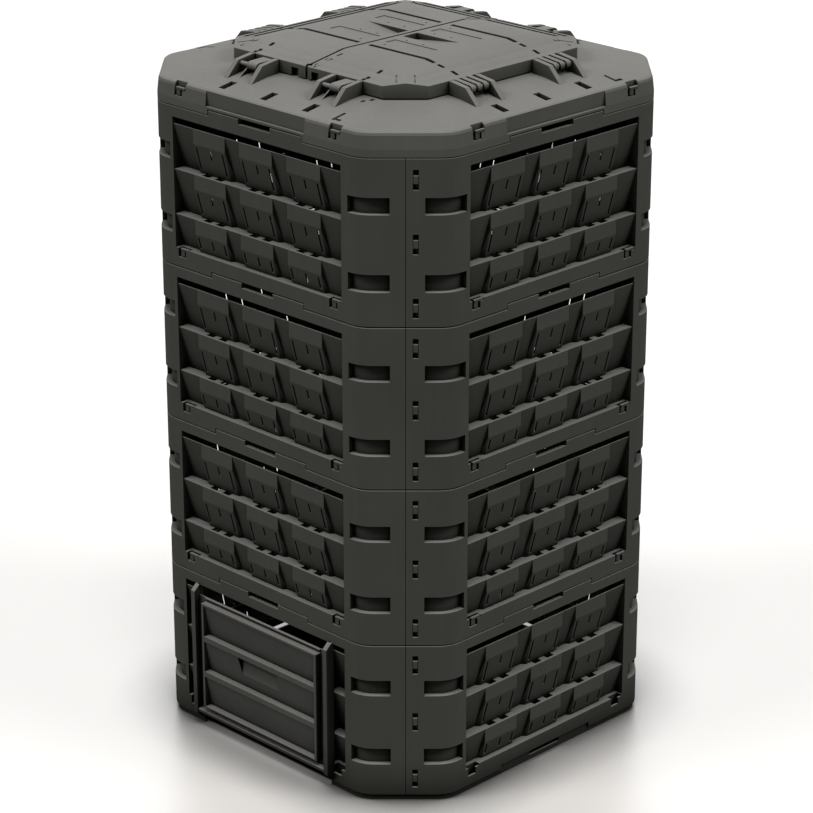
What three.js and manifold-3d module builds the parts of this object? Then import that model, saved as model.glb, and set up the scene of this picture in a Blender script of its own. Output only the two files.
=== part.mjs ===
// Four-tier garden compost bin of louvred plastic panels, with a two-leaf lid and a lift-up hatch.
// Millimetres, +Z up. The bin stands on z = 0 and its hatch faces -Y.
import * as THREE from 'three';
import { mergeVertices } from 'three/addons/utils/BufferGeometryUtils.js';
import { ConvexGeometry } from 'three/addons/geometries/ConvexGeometry.js';
import Module from 'manifold-3d';

const wasm = await Module();
wasm.setup();

// Body: a square with its four corners cut at 45 degrees
const acrossFlats = 800;
const cornerCut = 122;
const cornerRadius = 61;
const cornerSteps = 2;
const tierCount = 4;
const tierHeight = 324;
const wall = 4;

// Clearances, and how far a cutting or joining solid runs past what it meets
const fitGap = 0.3;
const overrun = 1;
const meshTolerance = 0.001;

// Spigot under each tier, which plugs into the tier below and stands on the ground under the first
const spigotDepth = 10;
const spigotWall = 3.5;
const spigotRootHeight = 6;

// Raised tab in the middle of each panel's top edge
const tabWidth = 258;
const tabRise = 10;
const tabClearance = 1.5;
const tabSlotWidth = 84;

// Window with three louvred rows, the lowest of them shorter than the others
const windowMargin = 19.7;
const windowTopMargin = 22;
const windowSill = 40.5;
const rowCount = 3;
const lastRowShare = 0.74;
const rowTopGap = 13.5;
const louvreWall = 3;
const louvreInset = 2;
const ledgeDepth = 26;

// Scoops that stand forward on each louvred row
const scoopPitch = 131;
const scoopWidth = 91;
const scoopTab = 30;
const scoopProud = 7;

// Finger grips around both ends of each panel
const gripHeight = 32;
const gripLevelShares = [0.2685, 0.7253];
const gripSeamDistance = 30;
const gripFaceShift = 4;
const gripDepth = 8;
const gripWall = 3;

// Snap clips across the vertical seams
const clipCount = 3;
const clipEdgeDistance = 38.7;
const clipWindowWidth = 11;
const clipWindowHeight = 38;
const clipSeamDistance = 13;
const clipTongueHeight = 30;
const clipTongueWall = 3;
const clipTongueRoot = 15;
const clipTongueTip = 3;
const clipBarbClearance = 1;

// Hooks that join one tier to the next
const hookInset = 17.5;
const hookWidth = 21;
const hookWall = 3;
const hookRise = 40;
const hookRootHeight = 9;
const hookRootDrop = 20;
const hookBarbHeight = 14;
const hookNotchWidth = 35;
const hookNotchBottom = 22;
const hookNotchTop = 42.5;
const barbRecess = 1.5;

// Rails and sill of the hatch on the lowest front panel
const railSetback = 34;
const railWidth = 11;
const railProud = 17;
const railWeb = 3.5;
const railTopMargin = 9;
const railBottom = 19.5;
const railSlope = 12;
const railSeat = 4;
const grooveDepth = 3.2;
const sillTop = 28.7;
const sillHeight = 7;
const sillSetback = 3;

// Hatch door
const doorSideGap = 19.5;
const doorTopDrop = 19;
const flangeClearance = 2;
const doorFlangeRise = 8;
const doorSheet = 2.3;
const doorSideBand = 14;
const doorTopBand = 8;
const doorBottomBand = 12;
const doorRib = 10;
const doorBays = 3;
const bayTopDepth = 3;
const doorGripWidth = 112;
const doorGripHeight = 34;

// Lid rim
const rimWall = 6;
const rimSkirt = 48;
const rimSheet = 3;
const rimRise = 21;
const rimPanelMargin = 7;
const rimPanelRecess = 3;
const rimLip = 5;
const collarWall = 4;
const collarClearance = 7;

// Platform that the two leaves make, inside the run of the sloping roof
const roofRun = 136;
const platformCut = 60;
const platformBorder = 98;
const leafClearance = 2;
const leafSkirtHeight = 24;
const leafRise = 17;
const leafSheet = 3;
const leafSeamGap = 3;
const seamRib = 12;

// Finger recess of each leaf, open at the seam
const pullLength = 124;
const pullWidth = 40;
const pullDepth = 14;

// Square finger notches in the leaf skirts beside the seam
const notchCentre = 28;
const notchWidth = 16;
const notchHeight = 11;

// Hinges: ears, pins and leaf arms. Their places are shares of the roof's run, from the platform outwards,
// and of half the platform's straight side
const hingeShare = 0.2647;
const hingeRise = 13;
const hingeOffsetShare = 0.5564;
const earSpacing = 68;
const earWall = 11;
const earInnerShare = 0.0147;
const earInnerRise = 23;
const earKneeShare = 0.3088;
const earKneeRise = 21;
const earTipShare = 0.5294;
const earSeat = 1.5;
const earWeb = 4;
const pinRadius = 5;
const pinSteps = 8;
const knuckleRadius = 9;
const knuckleBore = 5.5;
const snapMouth = 8.4;
const armWidth = 18;
const armSpacing = 28;
const armDepth = 11;

// Vent slots in the rim: one between the ears of each hinge, and one in the middle of each side
const ventWidth = 17;
const ventInnerShare = 0.5809;
const ventOuterShare = 0.8309;

// Values that follow from the sizes above
const sides = 4;
const half = acrossFlats / 2;
const cornerReach = (acrossFlats - cornerCut) / Math.SQRT2;
const rightAngle = Math.PI / 2;
const rightDegrees = THREE.MathUtils.radToDeg(rightAngle);
const cornerTurn = Math.PI / 4;
const arcCentreX = half - cornerCut - cornerRadius * Math.tan(cornerTurn / 2);
const arcCentreY = -half + cornerRadius;
const windowHalf = arcCentreX - windowMargin;
const windowTop = tierHeight - windowTopMargin;
const tabNotchTop = tabRise + tabClearance;
const spigotOuter = wall + fitGap;
const spigotInner = spigotOuter + spigotWall;
const rowPitch = (windowTop - rowTopGap - windowSill) / (rowCount - 1 + lastRowShare);
const rowTops = Array.from({ length: rowCount }, (_, row) => windowTop - rowTopGap - row * rowPitch);
const rowFeet = [...rowTops.slice(1), windowSill];
const ledgeSlope = (ledgeDepth - louvreInset) / rowPitch;
const scoopCount = 1 + Math.floor((2 * windowHalf - scoopWidth) / scoopPitch);
const gripLevels = gripLevelShares.map((share) => share * tierHeight);
const clipPitch = (tierHeight - 2 * clipEdgeDistance) / (clipCount - 1);
const hookDepth = spigotInner + fitGap;
const hookCentre = windowHalf - hookInset;
const railOuter = windowHalf - railSetback;
const railInner = railOuter - railWidth;
const railTop = windowTop - railTopMargin;
const lidLevel = tierCount * tierHeight;
const platformHalf = half - roofRun;
const rimSlope = rimRise / roofRun;
const rimCrown = rimSkirt + rimRise;
const leafSkirtBottom = rimCrown + leafClearance;
const leafEdge = leafSkirtBottom + leafSkirtHeight;
const leafTop = leafEdge + leafRise;
const borderSlope = leafRise / platformBorder;
const plateauHalf = platformHalf - platformBorder;
const hingeReach = platformHalf + hingeShare * roofRun;
const hingeHeight = rimCrown + hingeRise;
const hingeOffset = hingeOffsetShare * (platformHalf - platformCut);
const collarOuterInset = leafSheet + collarClearance;
const collarInnerInset = collarOuterInset + collarWall;
const doorHalfWidth = railInner - doorSideGap;
const doorTop = railTop - doorTopDrop;
const doorBottom = sillTop + fitGap;
const doorBack = fitGap;
const doorFace = railProud;

// Surface of moulded recycled polyethylene, dark grey
const bodyPlastic = new THREE.MeshStandardMaterial({ color: 0x3d3d39, roughness: 0.62, metalness: 0 });
const lidPlastic = new THREE.MeshStandardMaterial({ color: 0x45443f, roughness: 0.6, metalness: 0 });
const doorPlastic = new THREE.MeshStandardMaterial({ color: 0x3a3a39, roughness: 0.62, metalness: 0 });

function solidOf(geometry) {
  const bare = geometry.clone();
  bare.deleteAttribute('normal');
  bare.deleteAttribute('uv');
  const merged = mergeVertices(bare);
  const vertProperties = new Float32Array(merged.attributes.position.array);
  const triVerts = new Uint32Array(merged.index.array);
  return new wasm.Manifold(new wasm.Mesh({ numProp: 3, vertProperties, triVerts }));
}

function geometryOf(solid) {
  const mesh = solid.asOriginal().simplify(meshTolerance).getMesh();
  const geometry = new THREE.BufferGeometry();
  geometry.setAttribute('position', new THREE.BufferAttribute(new Float32Array(mesh.vertProperties), 3));
  geometry.setIndex(new THREE.BufferAttribute(new Uint32Array(mesh.triVerts), 1));
  geometry.computeVertexNormals();
  return geometry;
}

function join(solids) {
  return solids.reduce((sum, solid) => sum.add(solid));
}

function cut(solid, tools) {
  return tools.reduce((rest, tool) => rest.subtract(tool), solid);
}

function moved(geometry, turn, [x, y, z]) {
  return geometry.rotateZ(turn).translate(x, y, z);
}

function box([x0, x1], [y0, y1], [z0, z1]) {
  const geometry = new THREE.BoxGeometry(x1 - x0, y1 - y0, z1 - z0);
  return geometry.translate((x0 + x1) / 2, (y0 + y1) / 2, (z0 + z1) / 2);
}

// Interval of a width about its centre, and the same interval or edge pair in rising order
function span(centre, width) {
  return [centre - width / 2, centre + width / 2];
}

function rising(a, b) {
  return [Math.min(a, b), Math.max(a, b)];
}

function shapeOf(points) {
  return new THREE.Shape(points.map(([x, y]) => new THREE.Vector2(x, y)));
}

// Prism standing on z0, from an outline in plan with an optional hole
function upright(points, [z0, z1], hole) {
  const shape = shapeOf(points);
  if (hole) {
    shape.holes.push(shapeOf(hole));
  }
  return new THREE.ExtrudeGeometry(shape, { depth: z1 - z0, bevelEnabled: false }).translate(0, 0, z0);
}

// Prism along X from an outline of [y, z] points
function alongX(points, [x0, x1]) {
  const geometry = new THREE.ExtrudeGeometry(shapeOf(points), { depth: x1 - x0, bevelEnabled: false });
  const y = new THREE.Vector3(0, 1, 0);
  const z = new THREE.Vector3(0, 0, 1);
  const x = new THREE.Vector3(1, 0, 0);
  return geometry.applyMatrix4(new THREE.Matrix4().makeBasis(y, z, x)).translate(x0, 0, 0);
}

// Same, along X on the front side, from an outline of [depth behind the face, z] points
function louvrePrism(points, span) {
  return alongX(points.map(([depth, z]) => [-half + depth, z]), span);
}

function quarterTurns(points) {
  const turned = [];
  for (let side = 0; side < sides; side += 1) {
    const turn = side * rightAngle;
    for (const [x, y] of points) {
      turned.push([x * Math.cos(turn) - y * Math.sin(turn), x * Math.sin(turn) + y * Math.cos(turn)]);
    }
  }
  return turned;
}

// Front side of the body in plan, with its two rounded bends, at a depth behind the outer surface
function sideBends(depth) {
  const right = [];
  for (let step = 0; step <= cornerSteps; step += 1) {
    const angle = -rightAngle + cornerTurn * step / cornerSteps;
    const reach = cornerRadius - depth;
    right.push([arcCentreX + reach * Math.cos(angle), arcCentreY + reach * Math.sin(angle)]);
  }
  const left = right.map(([x, y]) => [-x, y]).reverse();
  return [...left, ...right];
}

function seamPoint(depth) {
  const reach = cornerReach - depth;
  return [(reach - fitGap / 2) / Math.SQRT2, (-reach - fitGap / 2) / Math.SQRT2];
}

function sidePath(depth) {
  const [x, y] = seamPoint(depth);
  return [[-x, y], ...sideBends(depth), [x, y]];
}

// Upright band that follows the panel's plan between two depths
function panelBand(outerDepth, innerDepth, levels) {
  return upright([...sidePath(outerDepth), ...sidePath(innerDepth).reverse()], levels);
}

function ringBand(outerDepth, innerDepth, levels) {
  return upright(quarterTurns(sideBends(outerDepth)), levels, quarterTurns(sideBends(innerDepth)));
}

function platformOctagon(inset) {
  const reach = platformHalf - inset;
  const shortReach = reach - (platformCut - (2 - Math.SQRT2) * inset);
  return quarterTurns([[-shortReach, -reach], [shortReach, -reach]]);
}

function atLevel(points, z) {
  return points.map(([x, y]) => new THREE.Vector3(x, y, z));
}

// Places a geometry given in the frame of a corner: x along the corner cut, y inwards, z up
function atRightCorner(geometry) {
  return moved(geometry, cornerTurn, [cornerReach / Math.SQRT2, -cornerReach / Math.SQRT2, 0]);
}

function atLeftCorner(geometry) {
  return moved(geometry, -cornerTurn, [-cornerReach / Math.SQRT2, -cornerReach / Math.SQRT2, 0]);
}

function louvreRows() {
  const outline = [];
  const back = [];
  rowTops.forEach((top, row) => {
    const foot = rowFeet[row];
    const reach = louvreInset + ledgeSlope * (top - foot);
    outline.push([louvreInset, top], [reach, foot]);
    back.push([louvreInset + louvreWall, top]);
    back.push([reach + louvreWall, foot - louvreWall]);
    if (row + 1 < rowCount) {
      back.push([louvreInset + louvreWall + ledgeSlope * louvreWall, foot - louvreWall]);
    }
  });
  outline.push([wall - overrun, windowSill], [wall - overrun, windowSill - louvreWall]);
  const backLine = back.filter(([, z], index) => index === 0 || !rowTops.includes(z));
  return louvrePrism([...outline, ...backLine.reverse()], [-windowHalf - overrun, windowHalf + overrun]);
}

function scoopRow(top, foot) {
  const reach = louvreInset + ledgeSlope * (top - foot);
  const outline = [
    [louvreInset, top], [louvreInset, top - scoopTab], [reach - scoopProud, foot],
    [reach + overrun, foot], [louvreInset + overrun, top],
  ];
  return Array.from({ length: scoopCount }, (_, index) => {
    const centre = (index - (scoopCount - 1) / 2) * scoopPitch;
    return solidOf(louvrePrism(outline, span(centre, scoopWidth)));
  });
}

function louvres() {
  const scoops = rowTops.flatMap((top, row) => scoopRow(top, rowFeet[row]));
  const cheekDepths = [-half + wall - overrun, -half + ledgeDepth + louvreWall];
  const cheekLevels = [windowSill - louvreWall, windowTop + louvreWall];
  const cheeks = [-1, 1].map((side) => {
    const edges = rising(side * windowHalf, side * (windowHalf + louvreWall));
    return solidOf(box(edges, cheekDepths, cheekLevels));
  });
  return join([solidOf(louvreRows()), ...scoops, ...cheeks]);
}

// Finger grip round the bend at the right end, or mirrored: its housing and the space cut out of it
function grip(level, mirror) {
  const faceEnd = [arcCentreX + gripFaceShift, -half];
  const seamReach = gripSeamDistance / Math.SQRT2;
  const seamEnd = [cornerReach / Math.SQRT2 - seamReach, -cornerReach / Math.SQRT2 - seamReach];
  const chord = Math.hypot(seamEnd[0] - faceEnd[0], seamEnd[1] - faceEnd[1]);
  const turn = Math.atan2(seamEnd[1] - faceEnd[1], seamEnd[0] - faceEnd[0]);
  const middle = [(faceEnd[0] + seamEnd[0]) / 2, (faceEnd[1] + seamEnd[1]) / 2, 0];
  const levels = span(level, gripHeight);
  const space = moved(box(span(0, chord), [-cornerRadius / 2, gripDepth], levels), turn, middle);
  const backCorner = (side) => {
    const corner = new THREE.Vector3(side * (chord / 2 + gripWall), gripDepth + gripWall, 0);
    corner.applyAxisAngle(new THREE.Vector3(0, 0, 1), turn);
    return [corner.x + middle[0], corner.y + middle[1]];
  };
  const midWall = sideBends(wall / 2).slice(-cornerSteps - 1);
  const seamSide = (gripSeamDistance - 2 * gripWall) / Math.SQRT2;
  const midReach = (cornerReach - wall / 2) / Math.SQRT2;
  const housing = upright([
    [faceEnd[0] - 2 * gripWall, -half + wall / 2], ...midWall, [midReach - seamSide, -midReach - seamSide],
    backCorner(1), backCorner(-1),
  ], [levels[0] - gripWall, levels[1] + gripWall]);
  const place = (geometry) => (mirror ? solidOf(geometry).mirror([1, 0, 0]) : solidOf(geometry));
  return { space: place(space), housing: place(housing) };
}

function clipLevels() {
  return Array.from({ length: clipCount }, (_, index) => clipEdgeDistance + index * clipPitch);
}

// Tongue at a panel's right end, which snaps into the window of its neighbour
function clipTongue(level) {
  const outer = wall + fitGap;
  const inner = outer + clipTongueWall;
  const barbStart = clipSeamDistance + clipBarbClearance;
  const barbEnd = clipSeamDistance + clipWindowWidth - clipBarbClearance;
  const tip = clipSeamDistance + clipWindowWidth + clipTongueTip;
  const plan = [
    [-clipTongueRoot, wall - overrun], [-clipTongueRoot / 2, wall - overrun], [-clipTongueRoot / 2, outer],
    [barbStart, outer], [barbStart, barbRecess], [barbEnd, barbRecess], [barbEnd, outer],
    [tip, outer], [tip, inner], [-clipTongueRoot, inner],
  ];
  return solidOf(atRightCorner(upright(plan, span(level, clipTongueHeight))));
}

function clipWindow(level) {
  const width = [clipSeamDistance, clipSeamDistance + clipWindowWidth];
  const levels = span(level, clipWindowHeight);
  return solidOf(atLeftCorner(box(width, [-overrun, wall + overrun], levels)));
}

function hook(centre) {
  const inner = hookDepth + hookWall;
  const root = tierHeight - hookRootDrop;
  const top = tierHeight + hookRise;
  const outline = [
    [wall - overrun, root], [inner, root], [inner, top], [barbRecess, top],
    [barbRecess, top - hookBarbHeight], [hookDepth, top - hookBarbHeight],
    [hookDepth, root + hookRootHeight], [wall - overrun, root + hookRootHeight],
  ];
  return solidOf(louvrePrism(outline, span(centre, hookWidth)));
}

function hookNotch(centre) {
  const across = span(centre, hookNotchWidth);
  const depths = [-half - overrun, -half + hookDepth + hookWall + overrun];
  return solidOf(box(across, depths, [hookNotchBottom, hookNotchTop]));
}

function spigot(bandOf) {
  return [
    solidOf(bandOf(spigotOuter, spigotInner, [-spigotDepth, fitGap + overrun])),
    solidOf(bandOf(wall / 2, spigotInner, [fitGap, tabNotchTop + spigotRootHeight])),
  ];
}

// Room for the tab of the tier below, and the air slot that carries on through the spigot behind it
function tabNotch() {
  const across = tabWidth / 2 + tabClearance;
  const room = solidOf(box([-across, across], [-half - overrun, -half + spigotOuter], [0, tabNotchTop]));
  const depths = [-half, -half + spigotInner + overrun];
  return join([room, solidOf(box(span(0, tabSlotWidth), depths, [fitGap, tabRise]))]);
}

function panelSolid() {
  const shell = solidOf(panelBand(0, wall, [fitGap, tierHeight]));
  const faceDepths = [-half - overrun, -half + wall + overrun];
  const tabLevels = [tierHeight - overrun, tierHeight + tabRise];
  const tab = solidOf(box(span(0, tabWidth), [-half, -half + wall], tabLevels));
  const slotLevels = [tierHeight, tierHeight + tabRise + overrun];
  const tabSlot = solidOf(box(span(0, tabSlotWidth), faceDepths, slotLevels));
  const opening = solidOf(box([-windowHalf, windowHalf], faceDepths, [windowSill, windowTop]));
  const hooks = [-hookCentre, hookCentre];
  const grips = gripLevels.flatMap((level) => [grip(level, false), grip(level, true)]);
  const frame = cut(join([shell, tab]), [tabSlot, opening]);
  const whole = join([
    frame, ...spigot(panelBand), louvres(), ...grips.map((one) => one.housing),
    ...clipLevels().map(clipTongue), ...hooks.map(hook),
  ]);
  const spaces = grips.map((one) => one.space);
  return cut(whole, [tabNotch(), ...spaces, ...clipLevels().map(clipWindow), ...hooks.map(hookNotch)]);
}

// The lowest front panel has an opening for the hatch, between two rails joined by a sill
function hatchPanelSolid() {
  const seat = -half + railSeat;
  const face = -half - railProud;
  const groove = -half - grooveDepth;
  const railOutline = [
    [face, railBottom], [groove, railBottom - railSlope], [seat, railBottom - railSlope],
    [seat, railTop + railSlope], [groove, railTop + railSlope], [face, railTop],
  ];
  const opening = solidOf(box(
    [-railInner, railInner], [-half - overrun, -half + ledgeDepth + 2 * louvreWall],
    [-spigotDepth - overrun, windowTop],
  ));
  const rails = [-1, 1].map((side) => {
    const edges = rising(side * railInner, side * railOuter);
    return solidOf(alongX(railOutline, edges));
  });
  const grooves = [-1, 1].map((side) => {
    const edges = rising(side * (railInner - overrun), side * (railOuter - railWeb));
    return solidOf(box(edges, [groove, -half], [sillTop, railTop + 2 * railSlope]));
  });
  const sillDepths = [face + sillSetback, seat];
  const sill = solidOf(box([-railOuter, railOuter], sillDepths, [sillTop - sillHeight, sillTop]));
  return join([cut(join([cut(panelSolid(), [opening]), ...rails]), grooves), sill]);
}

// Door of three bays whose floors slope back to a ledge, with flanges that run in the rails
function doorSolid() {
  const faceY = -half - doorFace;
  const backY = -half - doorBack;
  const floorY = backY - doorSheet;
  const flangeHalf = railOuter - railWeb - flangeClearance;
  const flangeLevels = [doorBottom, doorTop + doorFlangeRise];
  const flange = solidOf(box([-flangeHalf, flangeHalf], [floorY, backY], flangeLevels));
  const bodyDepths = [faceY, floorY + overrun];
  const body = solidOf(box([-doorHalfWidth, doorHalfWidth], bodyDepths, [doorBottom, doorTop]));
  const bayHalf = doorHalfWidth - doorSideBand;
  const bayPitch = (doorTop - doorTopBand - doorBottom - doorBottomBand + doorRib) / doorBays;
  const bays = [];
  for (let bay = 0; bay < doorBays; bay += 1) {
    const foot = doorBottom + doorBottomBand + bay * bayPitch;
    const head = foot + bayPitch - doorRib;
    const outline = [
      [faceY - overrun, foot], [floorY, foot], [faceY + bayTopDepth, head], [faceY - overrun, head],
    ];
    bays.push(solidOf(alongX(outline, [-bayHalf, bayHalf])));
  }
  const gripTop = doorBottom + doorBottomBand + 2 * bayPitch - doorRib;
  const gripBox = box(
    span(0, doorGripWidth), [faceY - overrun, floorY],
    [gripTop - doorGripHeight, gripTop],
  );
  return cut(join([flange, body]), [...bays, solidOf(gripBox)]);
}

function slopeHeight(reach) {
  return rimSkirt + rimSlope * (half - reach);
}

// Distance from the axis to a place on the roof's run
function roofReach(share) {
  return platformHalf + share * roofRun;
}

// One ear on the front side, in [y, z], from the collar out to its tip on the slope
function earOutline(innerRise, kneeRise) {
  const inner = roofReach(earInnerShare);
  const knee = roofReach(earKneeShare);
  const tip = roofReach(earTipShare);
  return [
    [-inner, slopeHeight(inner) - earSeat], [-inner, rimCrown + innerRise], [-knee, rimCrown + kneeRise],
    [-tip, slopeHeight(tip)], [-tip + earSeat, slopeHeight(tip) - earSeat],
  ];
}

function hingeSeat(centre) {
  const ears = [-1, 1].map((side) => {
    const middle = centre + side * earSpacing / 2;
    return solidOf(alongX(earOutline(earInnerRise, earKneeRise), span(middle, earWall)));
  });
  const web = alongX(earOutline(hingeRise, hingeRise), span(centre, earWeb));
  const pinReach = earSpacing / 2;
  const pin = new THREE.CylinderGeometry(pinRadius, pinRadius, 2 * pinReach, pinSteps).rotateZ(rightAngle);
  return join([...ears, solidOf(web), solidOf(pin.translate(centre, -hingeReach, hingeHeight))]);
}

function roundedRim(z, depth) {
  return atLevel(quarterTurns(sideBends(depth)), z);
}

function rimSolid() {
  const collarReach = platformHalf - collarInnerInset;
  const crown = slopeHeight(collarReach);
  const outer = new ConvexGeometry([
    ...roundedRim(fitGap, 0), ...roundedRim(rimSkirt, 0),
    ...atLevel(platformOctagon(collarInnerInset), crown),
  ]);
  const inner = new ConvexGeometry([
    ...roundedRim(-overrun, rimWall), ...roundedRim(rimSkirt - rimSheet, rimWall),
    ...atLevel(platformOctagon(collarInnerInset), crown - rimSheet),
  ]);
  const mouth = upright(platformOctagon(collarInnerInset), [-overrun, leafTop]);
  const collarTop = roofHeight(platformHalf - collarOuterInset) - leafSheet - fitGap;
  const collarLevels = [crown - rimSheet, collarTop];
  const collar = upright(platformOctagon(collarOuterInset), collarLevels, platformOctagon(collarInnerInset));
  const shell = join([
    cut(solidOf(outer), [solidOf(inner), solidOf(mouth)]), solidOf(collar), ...spigot(ringBand),
  ]);
  const pieces = [];
  const tools = [];
  for (let side = 0; side < sides; side += 1) {
    const turn = (solid) => solid.rotate([0, 0, side * rightDegrees]);
    for (const centre of [-hingeOffset, hingeOffset]) {
      pieces.push(turn(hingeSeat(centre)));
    }
    const recessLevels = [tabNotchTop + rimLip, rimSkirt + overrun];
    const recessDepths = [-half - overrun, -half + rimPanelRecess];
    const recessWidth = tabWidth + 2 * rimPanelMargin;
    tools.push(turn(solidOf(box(span(0, recessWidth), recessDepths, recessLevels))));
    tools.push(turn(tabNotch()));
    for (const centre of [-hookCentre, hookCentre]) {
      tools.push(turn(hookNotch(centre)));
    }
    for (const middle of [-hingeOffset, 0, hingeOffset]) {
      const ventDepths = [-roofReach(ventOuterShare), -roofReach(ventInnerShare)];
      const vent = box(span(middle, ventWidth), ventDepths, [rimSkirt - rimSheet, crown]);
      tools.push(turn(solidOf(vent)));
    }
  }
  return join([cut(shell, tools), ...pieces]);
}

function roofHeight(reach) {
  return leafTop - borderSlope * Math.max(0, reach - plateauHalf);
}

// Hipped platform over both leaves, inset and lowered for its underside
function platformHull(inset, drop, bottom) {
  const reach = platformHalf - inset;
  const octagon = platformOctagon(inset);
  const cornerMiddle = (octagon[2][0] + octagon[1][0]) / 2;
  const plateau = quarterTurns([[-plateauHalf, -plateauHalf]]);
  return new ConvexGeometry([
    ...atLevel(octagon, bottom), ...atLevel(octagon, roofHeight(reach) - drop),
    ...atLevel(quarterTurns([[cornerMiddle, -cornerMiddle]]), roofHeight(cornerMiddle) - drop),
    ...atLevel(plateau, leafTop - drop),
  ]);
}

function leafArm(centre) {
  const root = platformHalf - leafSheet - overrun;
  const outline = [
    [root, roofHeight(root) - overrun], [platformHalf, roofHeight(platformHalf)],
    [hingeReach, hingeHeight + knuckleRadius], [hingeReach, hingeHeight - pinRadius],
    [platformHalf, roofHeight(platformHalf) - armDepth], [root, roofHeight(root) - armDepth],
  ];
  const arm = solidOf(alongX(outline, span(0, armWidth)));
  const knuckle = new THREE.CylinderGeometry(knuckleRadius, knuckleRadius, armWidth, pinSteps);
  const bore = new THREE.CylinderGeometry(knuckleBore, knuckleBore, armWidth + 2 * overrun, pinSteps);
  const mouthDepths = span(hingeReach, snapMouth);
  const mouthLevels = [hingeHeight - knuckleRadius - overrun, hingeHeight];
  const mouth = box([-armWidth, armWidth], mouthDepths, mouthLevels);
  const place = (geometry) => solidOf(geometry.rotateZ(rightAngle).translate(0, hingeReach, hingeHeight));
  const made = cut(join([arm, place(knuckle)]), [place(bore), solidOf(mouth)]);
  return made.rotate([0, 0, -rightDegrees]).translate([0, centre, 0]);
}

// Leaf on the +X side of the seam
function leafSolid() {
  const seam = leafSeamGap / 2;
  const reach = platformHalf + overrun;
  const halfSpace = (edge) => solidOf(box([edge, reach], [-reach, reach], [0, leafTop + overrun]));
  const hull = solidOf(platformHull(0, 0, leafSkirtBottom)).intersect(halfSpace(seam));
  const underside = solidOf(platformHull(leafSheet, leafSheet, leafSkirtBottom - overrun));
  const hollow = underside.intersect(halfSpace(seam + leafSheet));
  const ribReach = platformHalf - leafSheet;
  const underRibLevels = [leafSkirtBottom - overrun, leafTop - leafSheet - seamRib];
  const underRib = solidOf(box([0, seam + 2 * leafSheet], [-ribReach, ribReach], underRibLevels));
  const shell = cut(hull, [hollow, underRib]);
  const halfPull = pullWidth / 2;
  const pullOutline = (drop) => [
    [seam - overrun, leafTop + overrun], [seam - overrun, leafTop - pullDepth - drop],
    [pullLength + drop, leafTop - drop], [pullLength + drop, leafTop + overrun],
  ];
  const pullPrism = (drop, width) => {
    const prism = alongX(pullOutline(drop), [-width, width]);
    return solidOf(prism).rotate([0, 0, -rightDegrees]);
  };
  const housing = pullPrism(leafSheet, halfPull + leafSheet).intersect(hull);
  const notches = [-1, 1].map((end) => {
    const wallY = rising(end * (platformHalf - leafSheet - overrun), end * (platformHalf + overrun));
    const levels = [leafSkirtBottom - overrun, leafSkirtBottom + notchHeight];
    return solidOf(box(span(notchCentre, notchWidth), wallY, levels));
  });
  const arms = [-hingeOffset, hingeOffset].flatMap((centre) => [
    leafArm(centre - armSpacing / 2), leafArm(centre + armSpacing / 2),
  ]);
  return join([cut(join([shell, housing]), [pullPrism(0, halfPull), ...notches]), ...arms]);
}

function meshOf(name, geometry, material, turn, level) {
  const mesh = new THREE.Mesh(geometry, material);
  mesh.name = name;
  mesh.rotation.z = turn;
  mesh.position.z = level;
  return mesh;
}

// The hatch stands proud of the front face, so the bin is moved back by half of that to centre its box
const bin = new THREE.Group();
bin.position.set(0, railProud / 2, spigotDepth);

const sideNames = ['front', 'right', 'back', 'left'];
const panelGeometry = geometryOf(panelSolid());
const hatchPanelGeometry = geometryOf(hatchPanelSolid());
for (let tier = 0; tier < tierCount; tier += 1) {
  sideNames.forEach((sideName, side) => {
    const geometry = tier === 0 && side === 0 ? hatchPanelGeometry : panelGeometry;
    const name = `tier${tier + 1}_panel_${sideName}`;
    bin.add(meshOf(name, geometry, bodyPlastic, side * rightAngle, tier * tierHeight));
  });
}
const leafGeometry = geometryOf(leafSolid());
bin.add(meshOf('lid_rim', geometryOf(rimSolid()), lidPlastic, 0, lidLevel));
bin.add(meshOf('lid_leaf_right', leafGeometry, lidPlastic, 0, lidLevel));
bin.add(meshOf('lid_leaf_left', leafGeometry, lidPlastic, Math.PI, lidLevel));
bin.add(meshOf('hatch_door', geometryOf(doorSolid()), doorPlastic, 0, 0));

export default bin;
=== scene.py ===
"""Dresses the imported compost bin: louvred panels, a sloping rim, a two-leaf lid, a hatch and the stage."""
import math

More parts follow.
